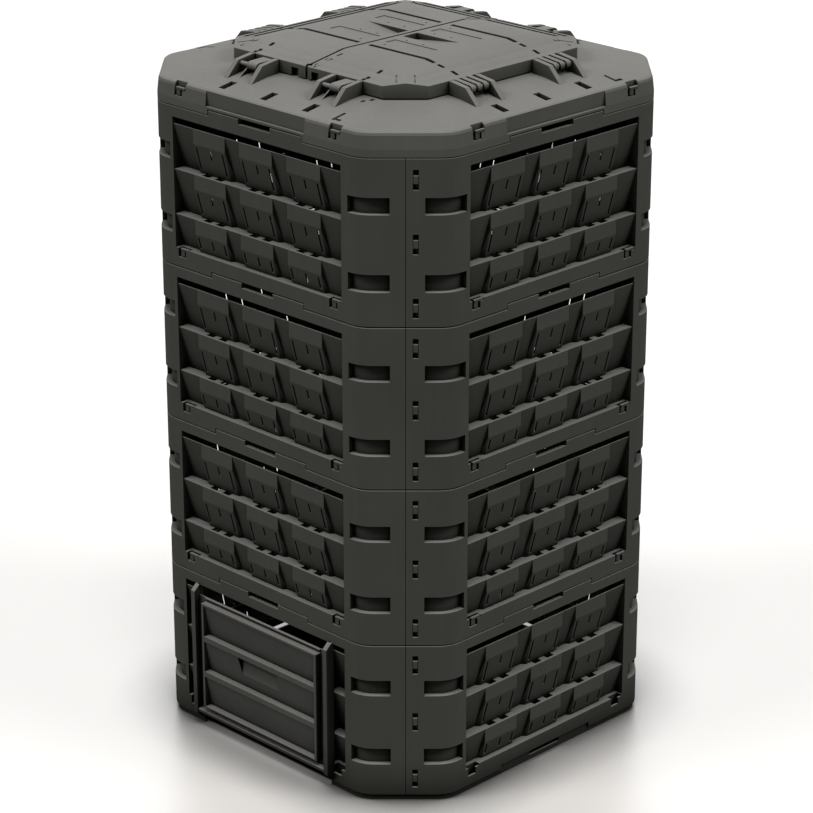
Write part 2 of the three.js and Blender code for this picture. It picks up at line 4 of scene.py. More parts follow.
import bpy
from bpy.props import FloatProperty, FloatVectorProperty, PointerProperty
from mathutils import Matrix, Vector


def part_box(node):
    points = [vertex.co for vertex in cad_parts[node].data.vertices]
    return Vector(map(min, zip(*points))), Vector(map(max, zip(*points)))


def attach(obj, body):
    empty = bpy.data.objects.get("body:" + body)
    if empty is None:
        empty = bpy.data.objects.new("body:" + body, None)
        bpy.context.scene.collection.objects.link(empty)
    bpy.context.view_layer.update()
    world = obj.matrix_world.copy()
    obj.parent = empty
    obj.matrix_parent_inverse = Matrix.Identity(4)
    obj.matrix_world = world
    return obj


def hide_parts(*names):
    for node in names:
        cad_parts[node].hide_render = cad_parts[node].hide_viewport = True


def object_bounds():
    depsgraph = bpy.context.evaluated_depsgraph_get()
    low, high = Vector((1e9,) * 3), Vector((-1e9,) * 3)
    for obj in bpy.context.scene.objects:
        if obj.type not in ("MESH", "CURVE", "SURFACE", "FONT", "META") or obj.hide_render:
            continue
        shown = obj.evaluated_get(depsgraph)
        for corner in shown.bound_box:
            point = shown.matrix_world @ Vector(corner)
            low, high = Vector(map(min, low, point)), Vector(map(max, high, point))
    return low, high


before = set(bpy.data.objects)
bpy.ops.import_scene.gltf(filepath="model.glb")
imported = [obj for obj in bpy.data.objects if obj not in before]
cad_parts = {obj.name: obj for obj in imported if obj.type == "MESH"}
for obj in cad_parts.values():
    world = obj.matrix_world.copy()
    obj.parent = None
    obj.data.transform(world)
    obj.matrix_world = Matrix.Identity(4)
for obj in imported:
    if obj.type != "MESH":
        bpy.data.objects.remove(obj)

bl_info = {
    "name": "Compost Bin",
    "version": (1, 0, 0),
    "blender": (4, 5, 0),
    "location": "3D View > Sidebar > Compost Bin",
    "description": "Models the looks of a louvred garden compost bin around its packed parts",
    "category": "Object",
}


def mm(*values):
    """Gives millimetres in metres: one number, or a tuple of several."""
    metres = tuple(value / 1000 for value in values)
    return metres[0] if len(metres) == 1 else metres


def linear(code):
    """An sRGB hex colour as linear values."""
    values = [int(code[start:start + 2], 16) / 255 for start in (1, 3, 5)]
    return tuple(v / 12.92 if v <= 0.04045 else ((v + 0.055) / 1.055) ** 2.4 for v in values)


# Read from the frame: the box before dressing, the tiers' pitch, the body's half width, its axis and its foot
CAD_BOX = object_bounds()
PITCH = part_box("tier3_panel_front")[0].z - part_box("tier2_panel_front")[0].z
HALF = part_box("tier2_panel_right")[1].x
AXIS_Y = (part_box("tier2_panel_front")[0].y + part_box("tier2_panel_back")[1].y) / 2
SPIGOT_DEPTH = mm(10)
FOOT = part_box("tier1_panel_right")[0].z + SPIGOT_DEPTH
LID_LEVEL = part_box("lid_rim")[0].z + SPIGOT_DEPTH - FOOT
PLATFORM_HALF = (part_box("lid_leaf_right")[1].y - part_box("lid_leaf_right")[0].y) / 2
LEAF_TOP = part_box("lid_leaf_right")[1].z - FOOT - LID_LEVEL
DOOR_PROUD = -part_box("hatch_door")[0].y + AXIS_Y - HALF

FIT_GAP, JOINT_GAP, SEAM_GAP, OVERRUN = mm(0.3, 2.2, 0.3, 1)
FINE_EDGE, HINGE_EDGE = mm(0.7, 0.8)
# A finished piece: how near two points are one, the bend that is dissolved, and the bend that stays sharp
MERGE_REACH, FLAT_BEND, CREASE, RIM_CREASE = mm(0.004), math.radians(0.2), math.radians(12), math.radians(6.5)
SIDES = ("front", "right", "back", "left")
QUARTER, DIAGONAL = math.pi / 2, math.sqrt(2)

# Body: a square with rounded bends where its corners are cut at 45 degrees. A bend starts and ends at these
# distances from the vertical seam, which runs down the middle of a corner.
CORNER_CUT, CORNER_RADIUS = mm(122, 61)
TANGENT = CORNER_RADIUS * math.tan(QUARTER / 4)
BEND_START = CORNER_CUT / DIAGONAL - TANGENT
BEND_END = BEND_START + CORNER_RADIUS * QUARTER / 2
BEND_STEPS = 8

# Spigot, and the tab with its air slot in the middle of a panel's top edge
SPIGOT_FACE, SPIGOT_WALL, SPIGOT_ROOT = mm(4.3, 3.5, 17.5)
TAB_HALF, TAB_RISE, TAB_ROOT, TAB_CLEARANCE, TAB_SLOT_HALF = mm(129, 10, 4, 2.8, 44)

# Window and its louvred rows, and the drip lip inside along the top of the window
WINDOW_HALF, SILL = mm(233, 40)
WINDOW_TOP = PITCH - mm(21)
ROW_TOP = PITCH - mm(35)
ROW_PITCH, ROWS = mm(90.5), 3
LOUVRE_INSET = mm(2)
LIP_REACH, LIP_DROP = mm(14, 8)

# Scoops: places along a row, the flat tab above the sloping face, and the slots and ledge notches in them
SCOOP_PLACES = mm(-131, 0, 131)
SCOOP_TAB, SCOOP_TAPER, SCOOP_FLARE = mm(30, 2, 6)
SLOT_PLACES = mm(-38, 36)
SLOT_START, SLOT_FOOT, SHORT_SLOT_PLACE, SHORT_SLOT_END = mm(36, 9, 1, 56)
NOTCH_PLACE, NOTCH_WIDTH, NOTCH_STRIP, NOTCH_RISE = mm(18, 20, 5, 4)

# Finger grips and snap clips, by their distance from the vertical seam
GRIPS_RIGHT, GRIPS_LEFT = mm(29, 112), mm(35.5, 120)
GRIP_LEVELS = (mm(69, 103.5), mm(217.5, 250.5))
CLIP_START, CLIP_END, CLIP_HALF_HEIGHT = mm(13, 24, 19.5)
CLIP_LEVELS = mm(38.2, 161.5, 284)
TONGUE_ROOT, TONGUE_TIP, TONGUE_HALF_HEIGHT, TONGUE_WALL = mm(15, 27, 7.8, 3)
LAP_REACH, LAP_WALL, LAP_ENDS = mm(10), mm(2.5), mm(19, 313)
FIN_DEPTH, FIN_INSET, BAR_INSET, BAR_FACE = mm(3.5, 2, 0.6, 0.5)

# Hooks that rise behind the tier above and show in a notch at the corner of its window
HOOK_PLACES = mm(-226, 199.5)
HOOK_STEM, HOOK_BAR, HOOK_SLOTS, HOOK_NOTCH = mm(6.3, 17), mm(6.3, 30), mm(0, 22), mm(0, 31.5)
HOOK_LEVEL, HOOK_FOOT, HOOK_TOP, HOOK_LEG, HOOK_ROOT = mm(35.5, 22, 40.3, 20, 11)
HOOK_FRONT, HOOK_REACH, HOOK_ROOT_DEPTH, STEM_INSET, STEM_RISE = mm(0.6, 6.2, 3, 0.8, 2)
HOOK_BACK, HOOK_SHIELD, SHIELD_MARGIN = mm(8.1, 11.1), mm(11.7, 13.2), mm(13)

# Rails and sill of the hatch
RAIL_OUTER, RAIL_INNER = mm(199, 188)
RAIL_TOP, RAIL_BOTTOM, RAIL_SLOPE, RAIL_SEAT, GROOVE_DEPTH, RAIL_WEB = mm(293, 19.5, 12, 4, 3.2, 3.5)
SILL_BAR, SILL_SETBACK = mm(21.7, 28.7), mm(2)

# Door of the hatch
DOOR_HALF, DOOR_TOP, DOOR_BOTTOM, DOOR_FLANGE_HALF = mm(168.5, 274, 29, 193.5)
DOOR_SHEET, DOOR_SHEET_EDGE, DOOR_FLANGE_RISE, DOOR_LIP, DOOR_LIP_REACH = mm(2.3, 0.5, 8, 2.5, 4)
DOOR_FOOT, DOOR_LEDGE, DOOR_TOP_RAIL, DOOR_BAYS = *mm(40, 43, 5), 3
POCKET_ENDS, POCKET_HEIGHT, POCKET_SLANT = mm(-64, 50), mm(40), mm(7)

# Rim: skirt, sloping roof, collar, vents and the fine marks in its roof
SKIRT_HEIGHT, SKIRT_BAND = mm(48, 17)
SKIRT_SHOULDER = (mm(3, 42), mm(4.8, 46.6), mm(8.5, 49.3))
ROOF_BREAK_HALF, ROOF_BREAK_HEIGHT, ROOF_CREST = mm(300, 65.5, 69.5)
RIM_WALL, RIM_SHEET = mm(8, 3)
MOUTH_HALF, COLLAR_WALL, COLLAR_TOP = mm(250, 4, 93)
PLATFORM_CUT = mm(60)
RIM_PANEL_HALF, RIM_LIP_TOP, RIM_PANEL_RECESS = mm(136), mm(17), mm(4.6, 6.6)
VENT_PLACES, VENT_SPAN = mm(-115, 0, 114), mm(343, 377)
VENT_HALF_WIDTH, VENT_DEPTH, VENT_STEP, VENT_WALL, VENT_CUT_RISE = mm(8.5, 15, 9, 2, 4)
ROOF_MARKS = (
    (mm(187, 194), mm(346, 379)), (mm(187, 208), mm(371, 379)),
    (mm(174, 182), mm(284, 294)), (mm(183, 191), mm(269, 279)),
)
ROOF_MARK_DEPTH = mm(2.6)

# Leaves of the lid, their ribs below, and the finger recess in each
SKIRT_BOTTOM, LEAF_EDGE, BORDER, SEAM_HALF = mm(71, 95, 98, 3)
RIB_PLACES, CROSS_RIB_PLACE, CROSS_RIB_INSET = mm(-166, -56, 56, 166), *mm(166, 30)
RIB_HALF, RIB_DEPTH, RIB_OVERLAP, SEAM_SPACE_DROP = mm(1.2, 15, 0.5, 12)
BACKING_DEPTH, BACKING_MARGIN, BACKING_INSET, BACKING_START = mm(8, 2, 4, 200)
PULL_HALF, PULL_TIP, PULL_ROOT = mm(20, 124, 12)
DRAIN_PLACES, DRAIN_HALF, DRAIN_HEIGHT = ((mm(23), -1), (mm(32), 1)), mm(9.5), mm(16)

# Marks in the leaves, by their places, half widths and spans
GROOVE_PLACE, GROOVE_HALF, DASH_HALF, CROSS_DASH_PLACE = mm(112, 5.3, 4.2, 148)
GROOVES = (mm(14, 166), mm(165, 188))
DASHES_ALONG = (mm(197, 213), mm(232, 249))
DASHES_ACROSS = (mm(209, 225), mm(242, 262))
FIELD_ALONG, FIELD_ACROSS, FIELD_DEPTH = mm(20, 135), mm(48, 75), mm(1.4)
DOTS, DOT_HALF, DOT_DEPTH = (mm(41, 38), mm(86, 38), mm(33, 90)), mm(2.2), mm(2)
CORNER_SLITS, SLIT_PLACES, SLIT_HALF, SLIT_DEPTH = mm(285, 325), mm(-17, 17), mm(1.5), mm(2.5)
BORDER_STEPS, STEP_START, STEP_REACH, STEP_DEPTH = (mm(211, 225), mm(238, 252)), *mm(8, 200, 2.3)
SEAM_NICKS, NICK_SPAN, NICK_HALF, NICK_DEPTH = mm(-254, -220, -193), mm(14, 20), mm(7), mm(2.2)

# Hinges: ears on the rim, the pins between them, and the leaves' arms
HINGE_PLACE, EAR_SPACING, EAR_WALL, EAR_TOP = mm(113.5, 68, 11, 95)
EAR_KNEE, EAR_TIP, EAR_KNEE_HEIGHT, EAR_SEAT, EAR_SHOULDER = mm(308, 337, 90, 2, 4)
HINGE_REACH, HINGE_HEIGHT, PIN_RADIUS, KNUCKLE_RADIUS, PIN_PLAY = mm(300, 82, 5, 9, 0.5)
WEB_PLACE, WEB_HALF, WEB_SETBACK = mm(-11, 1.6, 14)
KNUCKLE_PLACE, KNUCKLE_HALF, KNUCKLE_ROOT = mm(9), mm(13), mm(10, -6)
ARM_PLACES, ARM_WIDTH, ARM_DROP, ARM_MOUTH_HALF = mm(-17, 0, 17), *mm(10.5, 12, 4.2)

# Plastic: patches, flow streaks and etching, the painted top light, the painted shade in recesses, and the
# gloss of the skin
PATCH_SIZE, STREAK_WIDTH, ETCHING_RELIEF = mm(150, 12, 0.05)
STREAK_SHARE, STREAK_STRETCH, TONE_SWING = 0.35, 0.08, 0.08
NOISE_SPAN, PAINTED_TOP_LIGHT_SPAN = {"From Min": 0.3, "From Max": 0.7}, {"From Min": 0.1, "From Max": 0.9}
UPWARD_PAINTED_SHADE, SHUT_IN_SHARE, PAINTED_SHADE_TONE = 0.3, 0.45, 0.04
SPECULAR, ETCHING_STRENGTH, SMOOTHER, ROUGHER = 0.14, 0.35, 0.05, 0.06

# Stage: the light, the painted shade on the ground inside the bin, the painted shadow at its foot, the
# backdrop, and the floor and camera
WHITE, FILL_COLOUR, LAMP_COLOUR = (1, 1, 1, 1), (0.93, 0.96, 1.0, 1), (1, 0.985, 0.955)
PAINTED_SHADE_INSIDE, UNSEEN_FLOOR = "#1c1b1a", (0.08, 0.08, 0.085, 1)
PAINTED_SHADE_INSIDE_EDGE, SHADOW_REACH, SHADOW_LEVEL, POLISH_ROUGHNESS = mm(16, 12), mm(150), 0.48, 0.4
BACKDROP_HEADING, BACKDROP_EDGE, BACKDROP_GLEAM = (-0.707, 0.707, 0), (0.45, 0.8), 0.78
FLOOR_SIZE, SIGHT_LIMIT, SENSOR_WIDTH, CAMERA_SHIFT = 80, 200, 36, 0.00104


# Properties that a user may change, by the kind of their value
def a_length(name, default, description):
    return FloatProperty(name=name, description=description, default=default, unit="LENGTH")


def an_angle(name, default, description):
    return FloatProperty(name=name, description=description, default=default, subtype="ANGLE")


def a_share(name, default, description):
    return FloatProperty(name=name, description=description, default=default, subtype="FACTOR", min=0, max=1)


def a_number(name, default, description):
    return FloatProperty(name=name, description=description, default=default)


def a_colour(name, code, description):
    return FloatVectorProperty(
        name=name, description=description, default=linear(code), subtype="COLOR", size=3, min=0, max=1
    )


class PanelSizes(bpy.types.PropertyGroup):
    """Sizes of the wall panels."""

    wall: a_length("Wall", mm(4), "Thickness of a panel's wall")
    edge: a_length("Edge", mm(0.9), "Rounding of the moulded edges")
    louvre_wall: a_length("Louvre Wall", mm(3), "Thickness of the louvres")
    ledge_depth: a_length("Ledge Depth", mm(25.5), "How far back the louvres reach at their ledges")
    scoop_width: a_length("Scoop Width", mm(91), "Width of a scoop on a louvre")
    scoop_proud: a_length("Scoop Proud", mm(7.5), "How far a scoop stands off its louvre")
    slot_width: a_length("Slot Width", mm(4.2), "Width of the air slots in a scoop")
    grip_depth: a_length("Grip Depth", mm(12), "Depth of the finger grips")


class LidSizes(bpy.types.PropertyGroup):
    """Sizes of the leaves."""

    sheet: a_length("Sheet", mm(3), "Thickness of the leaves")
    edge: a_length("Edge", mm(0.8), "Rounding of the moulded edges")
    groove_depth: a_length("Groove Depth", mm(5), "Depth of the grooves in the leaves")
    pull_depth: a_length("Pull Depth", mm(13), "Depth of the finger recesses")


class HatchSizes(bpy.types.PropertyGroup):
    """Sizes of the hatch door."""

    rib: a_length("Rib", mm(11.5), "Height of the ribs across the door")
    side_wall: a_length("Side Wall", mm(6), "Width of the walls beside the bays")
    bay_top_depth: a_length("Bay Top Depth", mm(2.5), "Depth of a bay under its upper rib")
    pocket_depth: a_length("Pocket Depth", mm(15.6), "Depth of the finger pocket")


class PlasticLooks(bpy.types.PropertyGroup):
    """Colours and finish of the plastics."""

    panel_colour: a_colour("Panels", "#3e3f3a", "Colour of the wall panels")
    lid_colour: a_colour("Lid", "#494a45", "Colour of the rim and the leaves")
    door_colour: a_colour("Door", "#454542", "Colour of the hatch door")
    # Painted top light: the paler colour given to faces that look up, standing in for the light that falls on
    # them from above
    painted_top_light_colour: a_colour("Painted Top Light", "#636260", "Colour of the bleached and dusty skin that looks at the sky")
    roughness: a_share("Roughness", 0.5, "Roughness of the moulded surface")
    grain: a_length("Grain", mm(1.6), "Size of the mould's texture")
    # Painted shade: recesses and the inside are darkened by how shut in they are, over this reach and below
    # these openness shares
    painted_shade_reach: a_length("Painted Shade Reach", mm(105), "How far from other faces grime darkens the skin")
    wall_painted_shade: a_share("Wall Painted Shade", 0.93, "How open to the air a wall must be to stay clean of grime")
    lid_painted_shade: a_share("Lid Painted Shade", 0.66, "How open to the air the lid must be to stay clean of grime")


class StageLooks(bpy.types.PropertyGroup):
    """Floor, light and camera."""

    floor_colour: a_colour("Floor", "#eeebe9", "Colour of the floor as the camera sees it")
    floor_polish: a_share("Floor Polish", 0.56, "Share of the floor's light that is reflection")
    lamp_strength: a_number("Lamp", 2.5, "Strength of the lamp overhead")
    lamp_height: an_angle("Lamp Height", math.radians(70), "Angle of the lamp over the horizon")
    side_strength: a_number("Side Lamps", 1.92, "Strength of each of the two lamps at the sides")
    side_height: an_angle("Side Lamp Height", math.radians(41), "Angle of the side lamps over the horizon")
    side_turn: an_angle("Side Lamp Turn", math.radians(71), "Angle between the camera and each side lamp")
    lamp_spread: an_angle("Lamp Spread", math.radians(24), "Angle that each lamp fills in the sky")
    surround: a_number("Surround", 0.22, "Strength of the light all round")
    focal_length: a_number("Focal Length", 129.03, "Focal length of the camera, in millimetres")
    camera_distance: a_length("Camera Distance", mm(5526.5), "From the bin's axis to the camera over ground")
    camera_height: a_length("Camera Height", mm(2787), "Height of the camera over the ground")
    camera_pitch: an_angle("Camera Pitch", 0.3702, "How far the camera looks down")


def only(piece):
    """Selects this object alone and makes it active."""
    bpy.ops.object.select_all(action="DESELECT")
    piece.select_set(True)
    bpy.context.view_layer.objects.active = piece


def copied(piece):
    """A copy of a piece, with a mesh of its own."""
    only(piece)
    bpy.ops.object.duplicate()
    return bpy.context.object


def cleared(piece):
    """Clears a piece away."""
    only(piece)
    bpy.ops.object.delete()


def edit_all():
    """Opens the active object in edit mode with everything selected."""
    bpy.ops.object.mode_set(mode="EDIT")
    bpy.ops.mesh.select_all(action="SELECT")


def face_out():
    """Turns all faces outwards and closes edit mode."""
    bpy.ops.mesh.select_all(action="SELECT")
    bpy.ops.mesh.normals_make_consistent(inside=False)
    bpy.ops.object.mode_set(mode="OBJECT")


def modified(piece, kind, **settings):
    """Gives a piece a modifier with these settings, and applies it."""
    only(piece)
    bpy.ops.object.modifier_add(type=kind)
    modifier = piece.modifiers[-1]
    for name, value in settings.items():
        setattr(modifier, name, value)
    bpy.ops.object.modifier_apply(modifier=modifier.name)
    return piece


def softened(piece, width, angle=35):
    """Rounds the edges of a piece that turn by more than an angle in degrees."""
    if not width:
        return piece
    limit = math.radians(angle)
    return modified(piece, "BEVEL", width=width, segments=2, limit_method="ANGLE", angle_limit=limit)


def shaped(piece, operation, tools):
    """Joins tools to a piece, cuts them out of it or keeps what they share, and clears them away."""
    for tool in tools:
        modified(piece, "BOOLEAN", solver="MANIFOLD", operation=operation, object=tool)
        if not piece.data.polygons:
            raise RuntimeError(f"nothing is left of {piece.name} after {operation}")
        cleared(tool)
    return piece


def fused(piece, tools):
    return shaped(piece, "UNION", tools)


def carved(piece, tools):
    return shaped(piece, "DIFFERENCE", tools)


def shared(piece, other):
    return shaped(piece, "INTERSECT", [other])


def block(x, y, z, edge=0.0):
    """A box between three pairs of bounds, with its edges rounded."""
    bounds = (x, y, z)
    middle = [(low + high) / 2 for low, high in bounds]
    size = [high - low for low, high in bounds]
    bpy.ops.object.select_all(action="DESELECT")
    bpy.ops.mesh.primitive_cube_add(size=1, location=middle, scale=size)
    bpy.ops.object.transform_apply()
    return softened(bpy.context.object, edge)


def front_block(x, depths, z, edge=0.0):
    """A box in the front side: its bounds across, in depth behind the face, and in height."""
    return block(x, tuple(depth - HALF for depth in depths), z, edge)


def drawn(points, fill):
    """A circle whose points are moved to these places, open in edit mode."""
    bpy.ops.object.select_all(action="DESELECT")
    bpy.ops.mesh.primitive_circle_add(vertices=len(points), radius=HALF, fill_type=fill)
    piece = bpy.context.object
    for vertex, point in zip(piece.data.vertices, points):
        vertex.co = point
    edit_all()
    return piece


def prism(outline, bounds, place, edge=0.0):
    """A flat outline, extruded between two bounds. place gives a point from its outline pair and a bound."""
    low, high = bounds
    piece = drawn([place(a, b, low) for a, b in outline], "NGON")
    stretch = Vector(place(0, 0, high)) - Vector(place(0, 0, low))
    bpy.ops.mesh.extrude_region_move(TRANSFORM_OT_translate={"value": stretch})
    face_out()
    return softened(piece, edge)


def upright(outline, levels, edge=0.0):
    """A prism from an outline in plan."""
    return prism(outline, levels, lambda x, y, z: (x, y, z), edge)


def along_x(outline, bounds, edge=0.0):
    """A prism along X from an outline in depth behind the front face and height."""
    return prism(outline, bounds, lambda depth, z, x: (x, depth - HALF, z), edge)


def hull(points):
    """The convex solid around a few points."""
    piece = drawn(points, "NOTHING")
    bpy.ops.mesh.convex_hull()
    face_out()
    return piece


def barrel(x, centre, radius):
    """A round bar along X about a centre in depth and height."""
    depth, z = centre
    bpy.ops.object.select_all(action="DESELECT")
    bpy.ops.mesh.primitive_cylinder_add(
        vertices=24, radius=radius, depth=x[1] - x[0], rotation=(0, QUARTER, 0),
        location=((x[0] + x[1]) / 2, depth - HALF, z),
    )
    bpy.ops.object.transform_apply()
    return bpy.context.object


def copies(piece, places):
    """Copies of a piece at places along X. The piece itself is cleared away."""
    made = []
    for place in places:
        copy = copied(piece)
        copy.location.x = place
        bpy.ops.object.transform_apply()
        made.append(copy)
    cleared(piece)
    return made


def turned(piece, quarters):
    """Turns a piece about the bin's axis by quarter turns."""
    only(piece)
    piece.rotation_euler.z = quarters * QUARTER
    bpy.ops.object.transform_apply()
    return piece


def mirrored(piece):
    """A copy of a piece on the other side of X = 0."""
    copy = copied(piece)
    copy.scale.x = -1
    bpy.ops.object.transform_apply()
    edit_all()
    face_out()
    return copy


def moved_across(piece):
    """The mirrored piece alone."""
    other = mirrored(piece)
    cleared(piece)
    return other


def both_sides(pieces):
    return [*pieces, *(mirrored(piece) for piece in pieces)]


def on_four_sides(pieces):
    """Each piece and three copies of it, a quarter turn apart."""
    return [*pieces, *(turned(copied(piece), side) for piece in pieces for side in range(1, len(SIDES)))]


def placed(piece, name, level=0.0, side=0, crease=CREASE):
    """Puts a finished piece from the workbench at its place in the frame, and smooths its bends."""
    only(piece)
    piece.rotation_euler.z = side * QUARTER
    piece.location = (0, AXIS_Y, FOOT + level)
    bpy.ops.object.transform_apply()
    edit_all()
    bpy.ops.mesh.remove_doubles(threshold=MERGE_REACH)
    bpy.ops.mesh.dissolve_limited(angle_limit=FLAT_BEND)
    face_out()
    bpy.ops.object.shade_smooth_by_angle(angle=crease)
    piece.name = piece.data.name = name
    return piece


def around(centre, half_width):
    return (centre - half_width, centre + half_width)


def shifted(span, place):
    return tuple(value + place for value in span)


def at(points, z):
    return [(x, y, z) for x, y in points]


def quarter_turns(points):
    """Points in plan, repeated on all four sides."""
    path = []
    for side in range(len(SIDES)):
        cosine, sine = round(math.cos(side * QUARTER)), round(math.sin(side * QUARTER))
        path += [(x * cosine - y * sine, x * sine + y * cosine) for x, y in points]
    return path


def octagon(reach, corner_leg):
    """A square with cut corners, by half its width and the leg of the cut."""
    short = reach - corner_leg
    return quarter_turns([(-short, -reach), (short, -reach)])


def corner_point(distance, depth):
    """A place in plan on the right-hand corner, by its distance from the seam and its depth."""
    if distance <= BEND_START:
        reach = (2 * HALF - CORNER_CUT) / DIAGONAL
        out = (reach - depth) / DIAGONAL
        back = distance / DIAGONAL
        return out - back, -out - back
    turn = min((distance - BEND_START) / CORNER_RADIUS, QUARTER / 2)
    angle = -QUARTER / 2 - turn
    flat = distance - BEND_START - CORNER_RADIUS * turn
    x = HALF - CORNER_CUT - TANGENT + (CORNER_RADIUS - depth) * math.cos(angle)
    return x - flat, CORNER_RADIUS - HALF + (CORNER_RADIUS - depth) * math.sin(angle)


def bend(depth, start, end):
    """Points along the right-hand corner between two distances from the seam."""
    stops = [BEND_START + (BEND_END - BEND_START) * step / BEND_STEPS for step in range(BEND_STEPS + 1)]
    distances = [start, *(stop for stop in stops if start < stop < end), end]
    return [corner_point(distance, depth) for distance in distances]


def front_path(depth, start=SEAM_GAP):
    """The front side in plan, from a distance behind its left seam to the same distance before its right."""
    right = bend(depth, start, BEND_END)
    return [(-x, y) for x, y in right] + right[::-1]


def ring(depth):
    """The whole body in plan, as a closed path."""
    return quarter_turns(front_path(depth, BEND_START))


def panel_band(depths, levels, edge=0.0):
    """An upright band along the whole front side."""
    outer, inner = (front_path(depth) for depth in depths)
    return upright([*outer, *inner[::-1]], levels, edge)


def corner_band(distances, depths, levels, edge=0.0):
    """An upright band round the right-hand corner between two distances from the seam."""
    outer, inner = (bend(depth, *distances) for depth in depths)
    return upright([*outer, *inner[::-1]], levels, edge)


def rows():
    """Top and foot of each louvred row, from the top down."""
    tops = [ROW_TOP - row * ROW_PITCH for row in range(ROWS)]
    return list(zip(tops, [*tops[1:], SILL]))


def louvre_slope(sizes):
    return (sizes.ledge_depth - LOUVRE_INSET) / ROW_PITCH


def louvre_sheet(sizes):
    """The folded sheet that all rows of louvres share, with its ledges and the drip lip over them."""
    slope, wall = louvre_slope(sizes), sizes.louvre_wall
    front, back = [], []
    for row, (top, foot) in enumerate(rows()):
        reach = LOUVRE_INSET + slope * (top - foot)
        start = top if row == 0 else top - wall
        front += [(LOUVRE_INSET, top), (reach, foot)]
        back += [(LOUVRE_INSET + wall + slope * (top - start), start), (reach + wall, foot - wall)]
    front += [(sizes.wall - OVERRUN, SILL), (sizes.wall - OVERRUN, SILL - wall)]
    width = around(0, WINDOW_HALF + OVERRUN)
    sheet = along_x([*front, *back[::-1]], width, edge=sizes.edge / 2)
    root, low = sizes.wall - mm(0.5), WINDOW_TOP - LIP_DROP
    lip = [(root, WINDOW_TOP + wall), (LIP_REACH, low + wall), (LIP_REACH, low), (root, WINDOW_TOP)]
    return fused(sheet, [along_x(lip, width)])


def scoop(top, foot, sizes, inset=0.0):
    """The flat tab and sloping face of a scoop, with flared flanks, or the hollow behind them."""
    slope = louvre_slope(sizes)
    reach = LOUVRE_INSET + slope * (top - foot)
    half = sizes.scoop_width / 2 - inset
    face = LOUVRE_INSET + inset
    behind = sizes.louvre_wall + mm(3) if inset else mm(1)
    crown, shoulder = top - inset, top - SCOOP_TAB
    shoulder_back = LOUVRE_INSET + slope * SCOOP_TAB + behind
    tab, lower = [], []
    for side in (-1, 1):
        tab += [
            (side * half, face - HALF, crown),
            (side * half, face - HALF, shoulder),
            (side * half, shoulder_back - HALF, shoulder),
            (side * half, face + behind - HALF, crown),
        ]
        lower += [
            (side * half, face - HALF, shoulder),
            (side * half, shoulder_back - HALF, shoulder),
            (side * (half - SCOOP_TAPER), reach - sizes.scoop_proud + inset - HALF, foot),
            (side * (half + SCOOP_FLARE), reach + behind - HALF, foot),
        ]
    return fused(hull(tab), [hull(lower)])


def scoop_cuts(top, foot, sizes, has_notches):
    """The slots through a scoop's face, and the notches through the ledge at its foot."""
    depths = (-OVERRUN, sizes.ledge_depth + mm(6))
    start = top - SLOT_START
    slots = [*((place, foot + SLOT_FOOT) for place in SLOT_PLACES), (SHORT_SLOT_PLACE, top - SHORT_SLOT_END)]
    tools = [front_block(around(place, sizes.slot_width / 2), depths, (low, start)) for place, low in slots]
    if has_notches:
        reach = LOUVRE_INSET + louvre_slope(sizes) * (top - foot)
        depths = (LOUVRE_INSET + NOTCH_STRIP, reach - sizes.scoop_proud + mm(2.5))
        levels = (foot - sizes.louvre_wall - mm(2), foot + NOTCH_RISE)
        for side in (-1, 1):
            tools.append(front_block(around(side * NOTCH_PLACE, NOTCH_WIDTH / 2), depths, levels))
    return tools


def cheek(inner, sizes):
    """The wall that closes the rows of louvres at one end."""
    wall = sizes.louvre_wall
    depths = (sizes.wall - OVERRUN, sizes.ledge_depth + wall)
    return front_block((inner, inner + wall), depths, (SILL - wall, WINDOW_TOP + wall))


def louvres(sizes):
    """All louvred rows of a window, with their cheeks."""
    sheet = fused(louvre_sheet(sizes), both_sides([cheek(WINDOW_HALF, sizes)]))
    bodies, hollows, cuts = [], [], []
    for row, (top, foot) in enumerate(rows()):
        bodies += copies(softened(scoop(top, foot, sizes), sizes.edge / 2), SCOOP_PLACES)
        hollows += copies(scoop(top, foot, sizes, inset=sizes.louvre_wall), SCOOP_PLACES)
        for tool in scoop_cuts(top, foot, sizes, has_notches=row + 1 < ROWS):
            cuts += copies(tool, SCOOP_PLACES)
    return carved(fused(sheet, bodies), [*hollows, *cuts])


def spigot(sizes):
    """The band that reaches down into the tier below, and its root behind the wall."""
    inner, top = SPIGOT_FACE + SPIGOT_WALL, JOINT_GAP + OVERRUN
    return [
        panel_band((SPIGOT_FACE, inner), (-SPIGOT_DEPTH, top)),
        panel_band((sizes.wall / 2, inner), (top, SPIGOT_ROOT)),
    ]


def tab_room():
    """Room for the tab of the tier below, and the air slot that carries on behind it."""
    width = around(0, TAB_HALF + TAB_CLEARANCE / 2)
    through = (-OVERRUN, SPIGOT_FACE + SPIGOT_WALL + OVERRUN)
    return [
        front_block(width, (-OVERRUN, SPIGOT_FACE), (-OVERRUN, TAB_RISE + TAB_CLEARANCE)),
        front_block(around(0, TAB_SLOT_HALF), through, (FIT_GAP, TAB_RISE)),
    ]


def grips(sizes):
    """Housings and spaces of the finger grips at both ends."""
    housings, spaces = [], []
    wall, depth = sizes.louvre_wall, sizes.grip_depth
    for (start, end), goes_left in ((GRIPS_RIGHT, False), (GRIPS_LEFT, True)):
        for low, high in GRIP_LEVELS:
            span, levels = (start - wall, end + wall), (low - wall, high + wall)
            housing = corner_band(span, (sizes.wall / 2, depth + wall), levels)
            space = corner_band((start, end), (-OVERRUN, depth), (low, high))
            housings.append(moved_across(housing) if goes_left else housing)
            spaces.append(moved_across(space) if goes_left else space)
    return housings, spaces


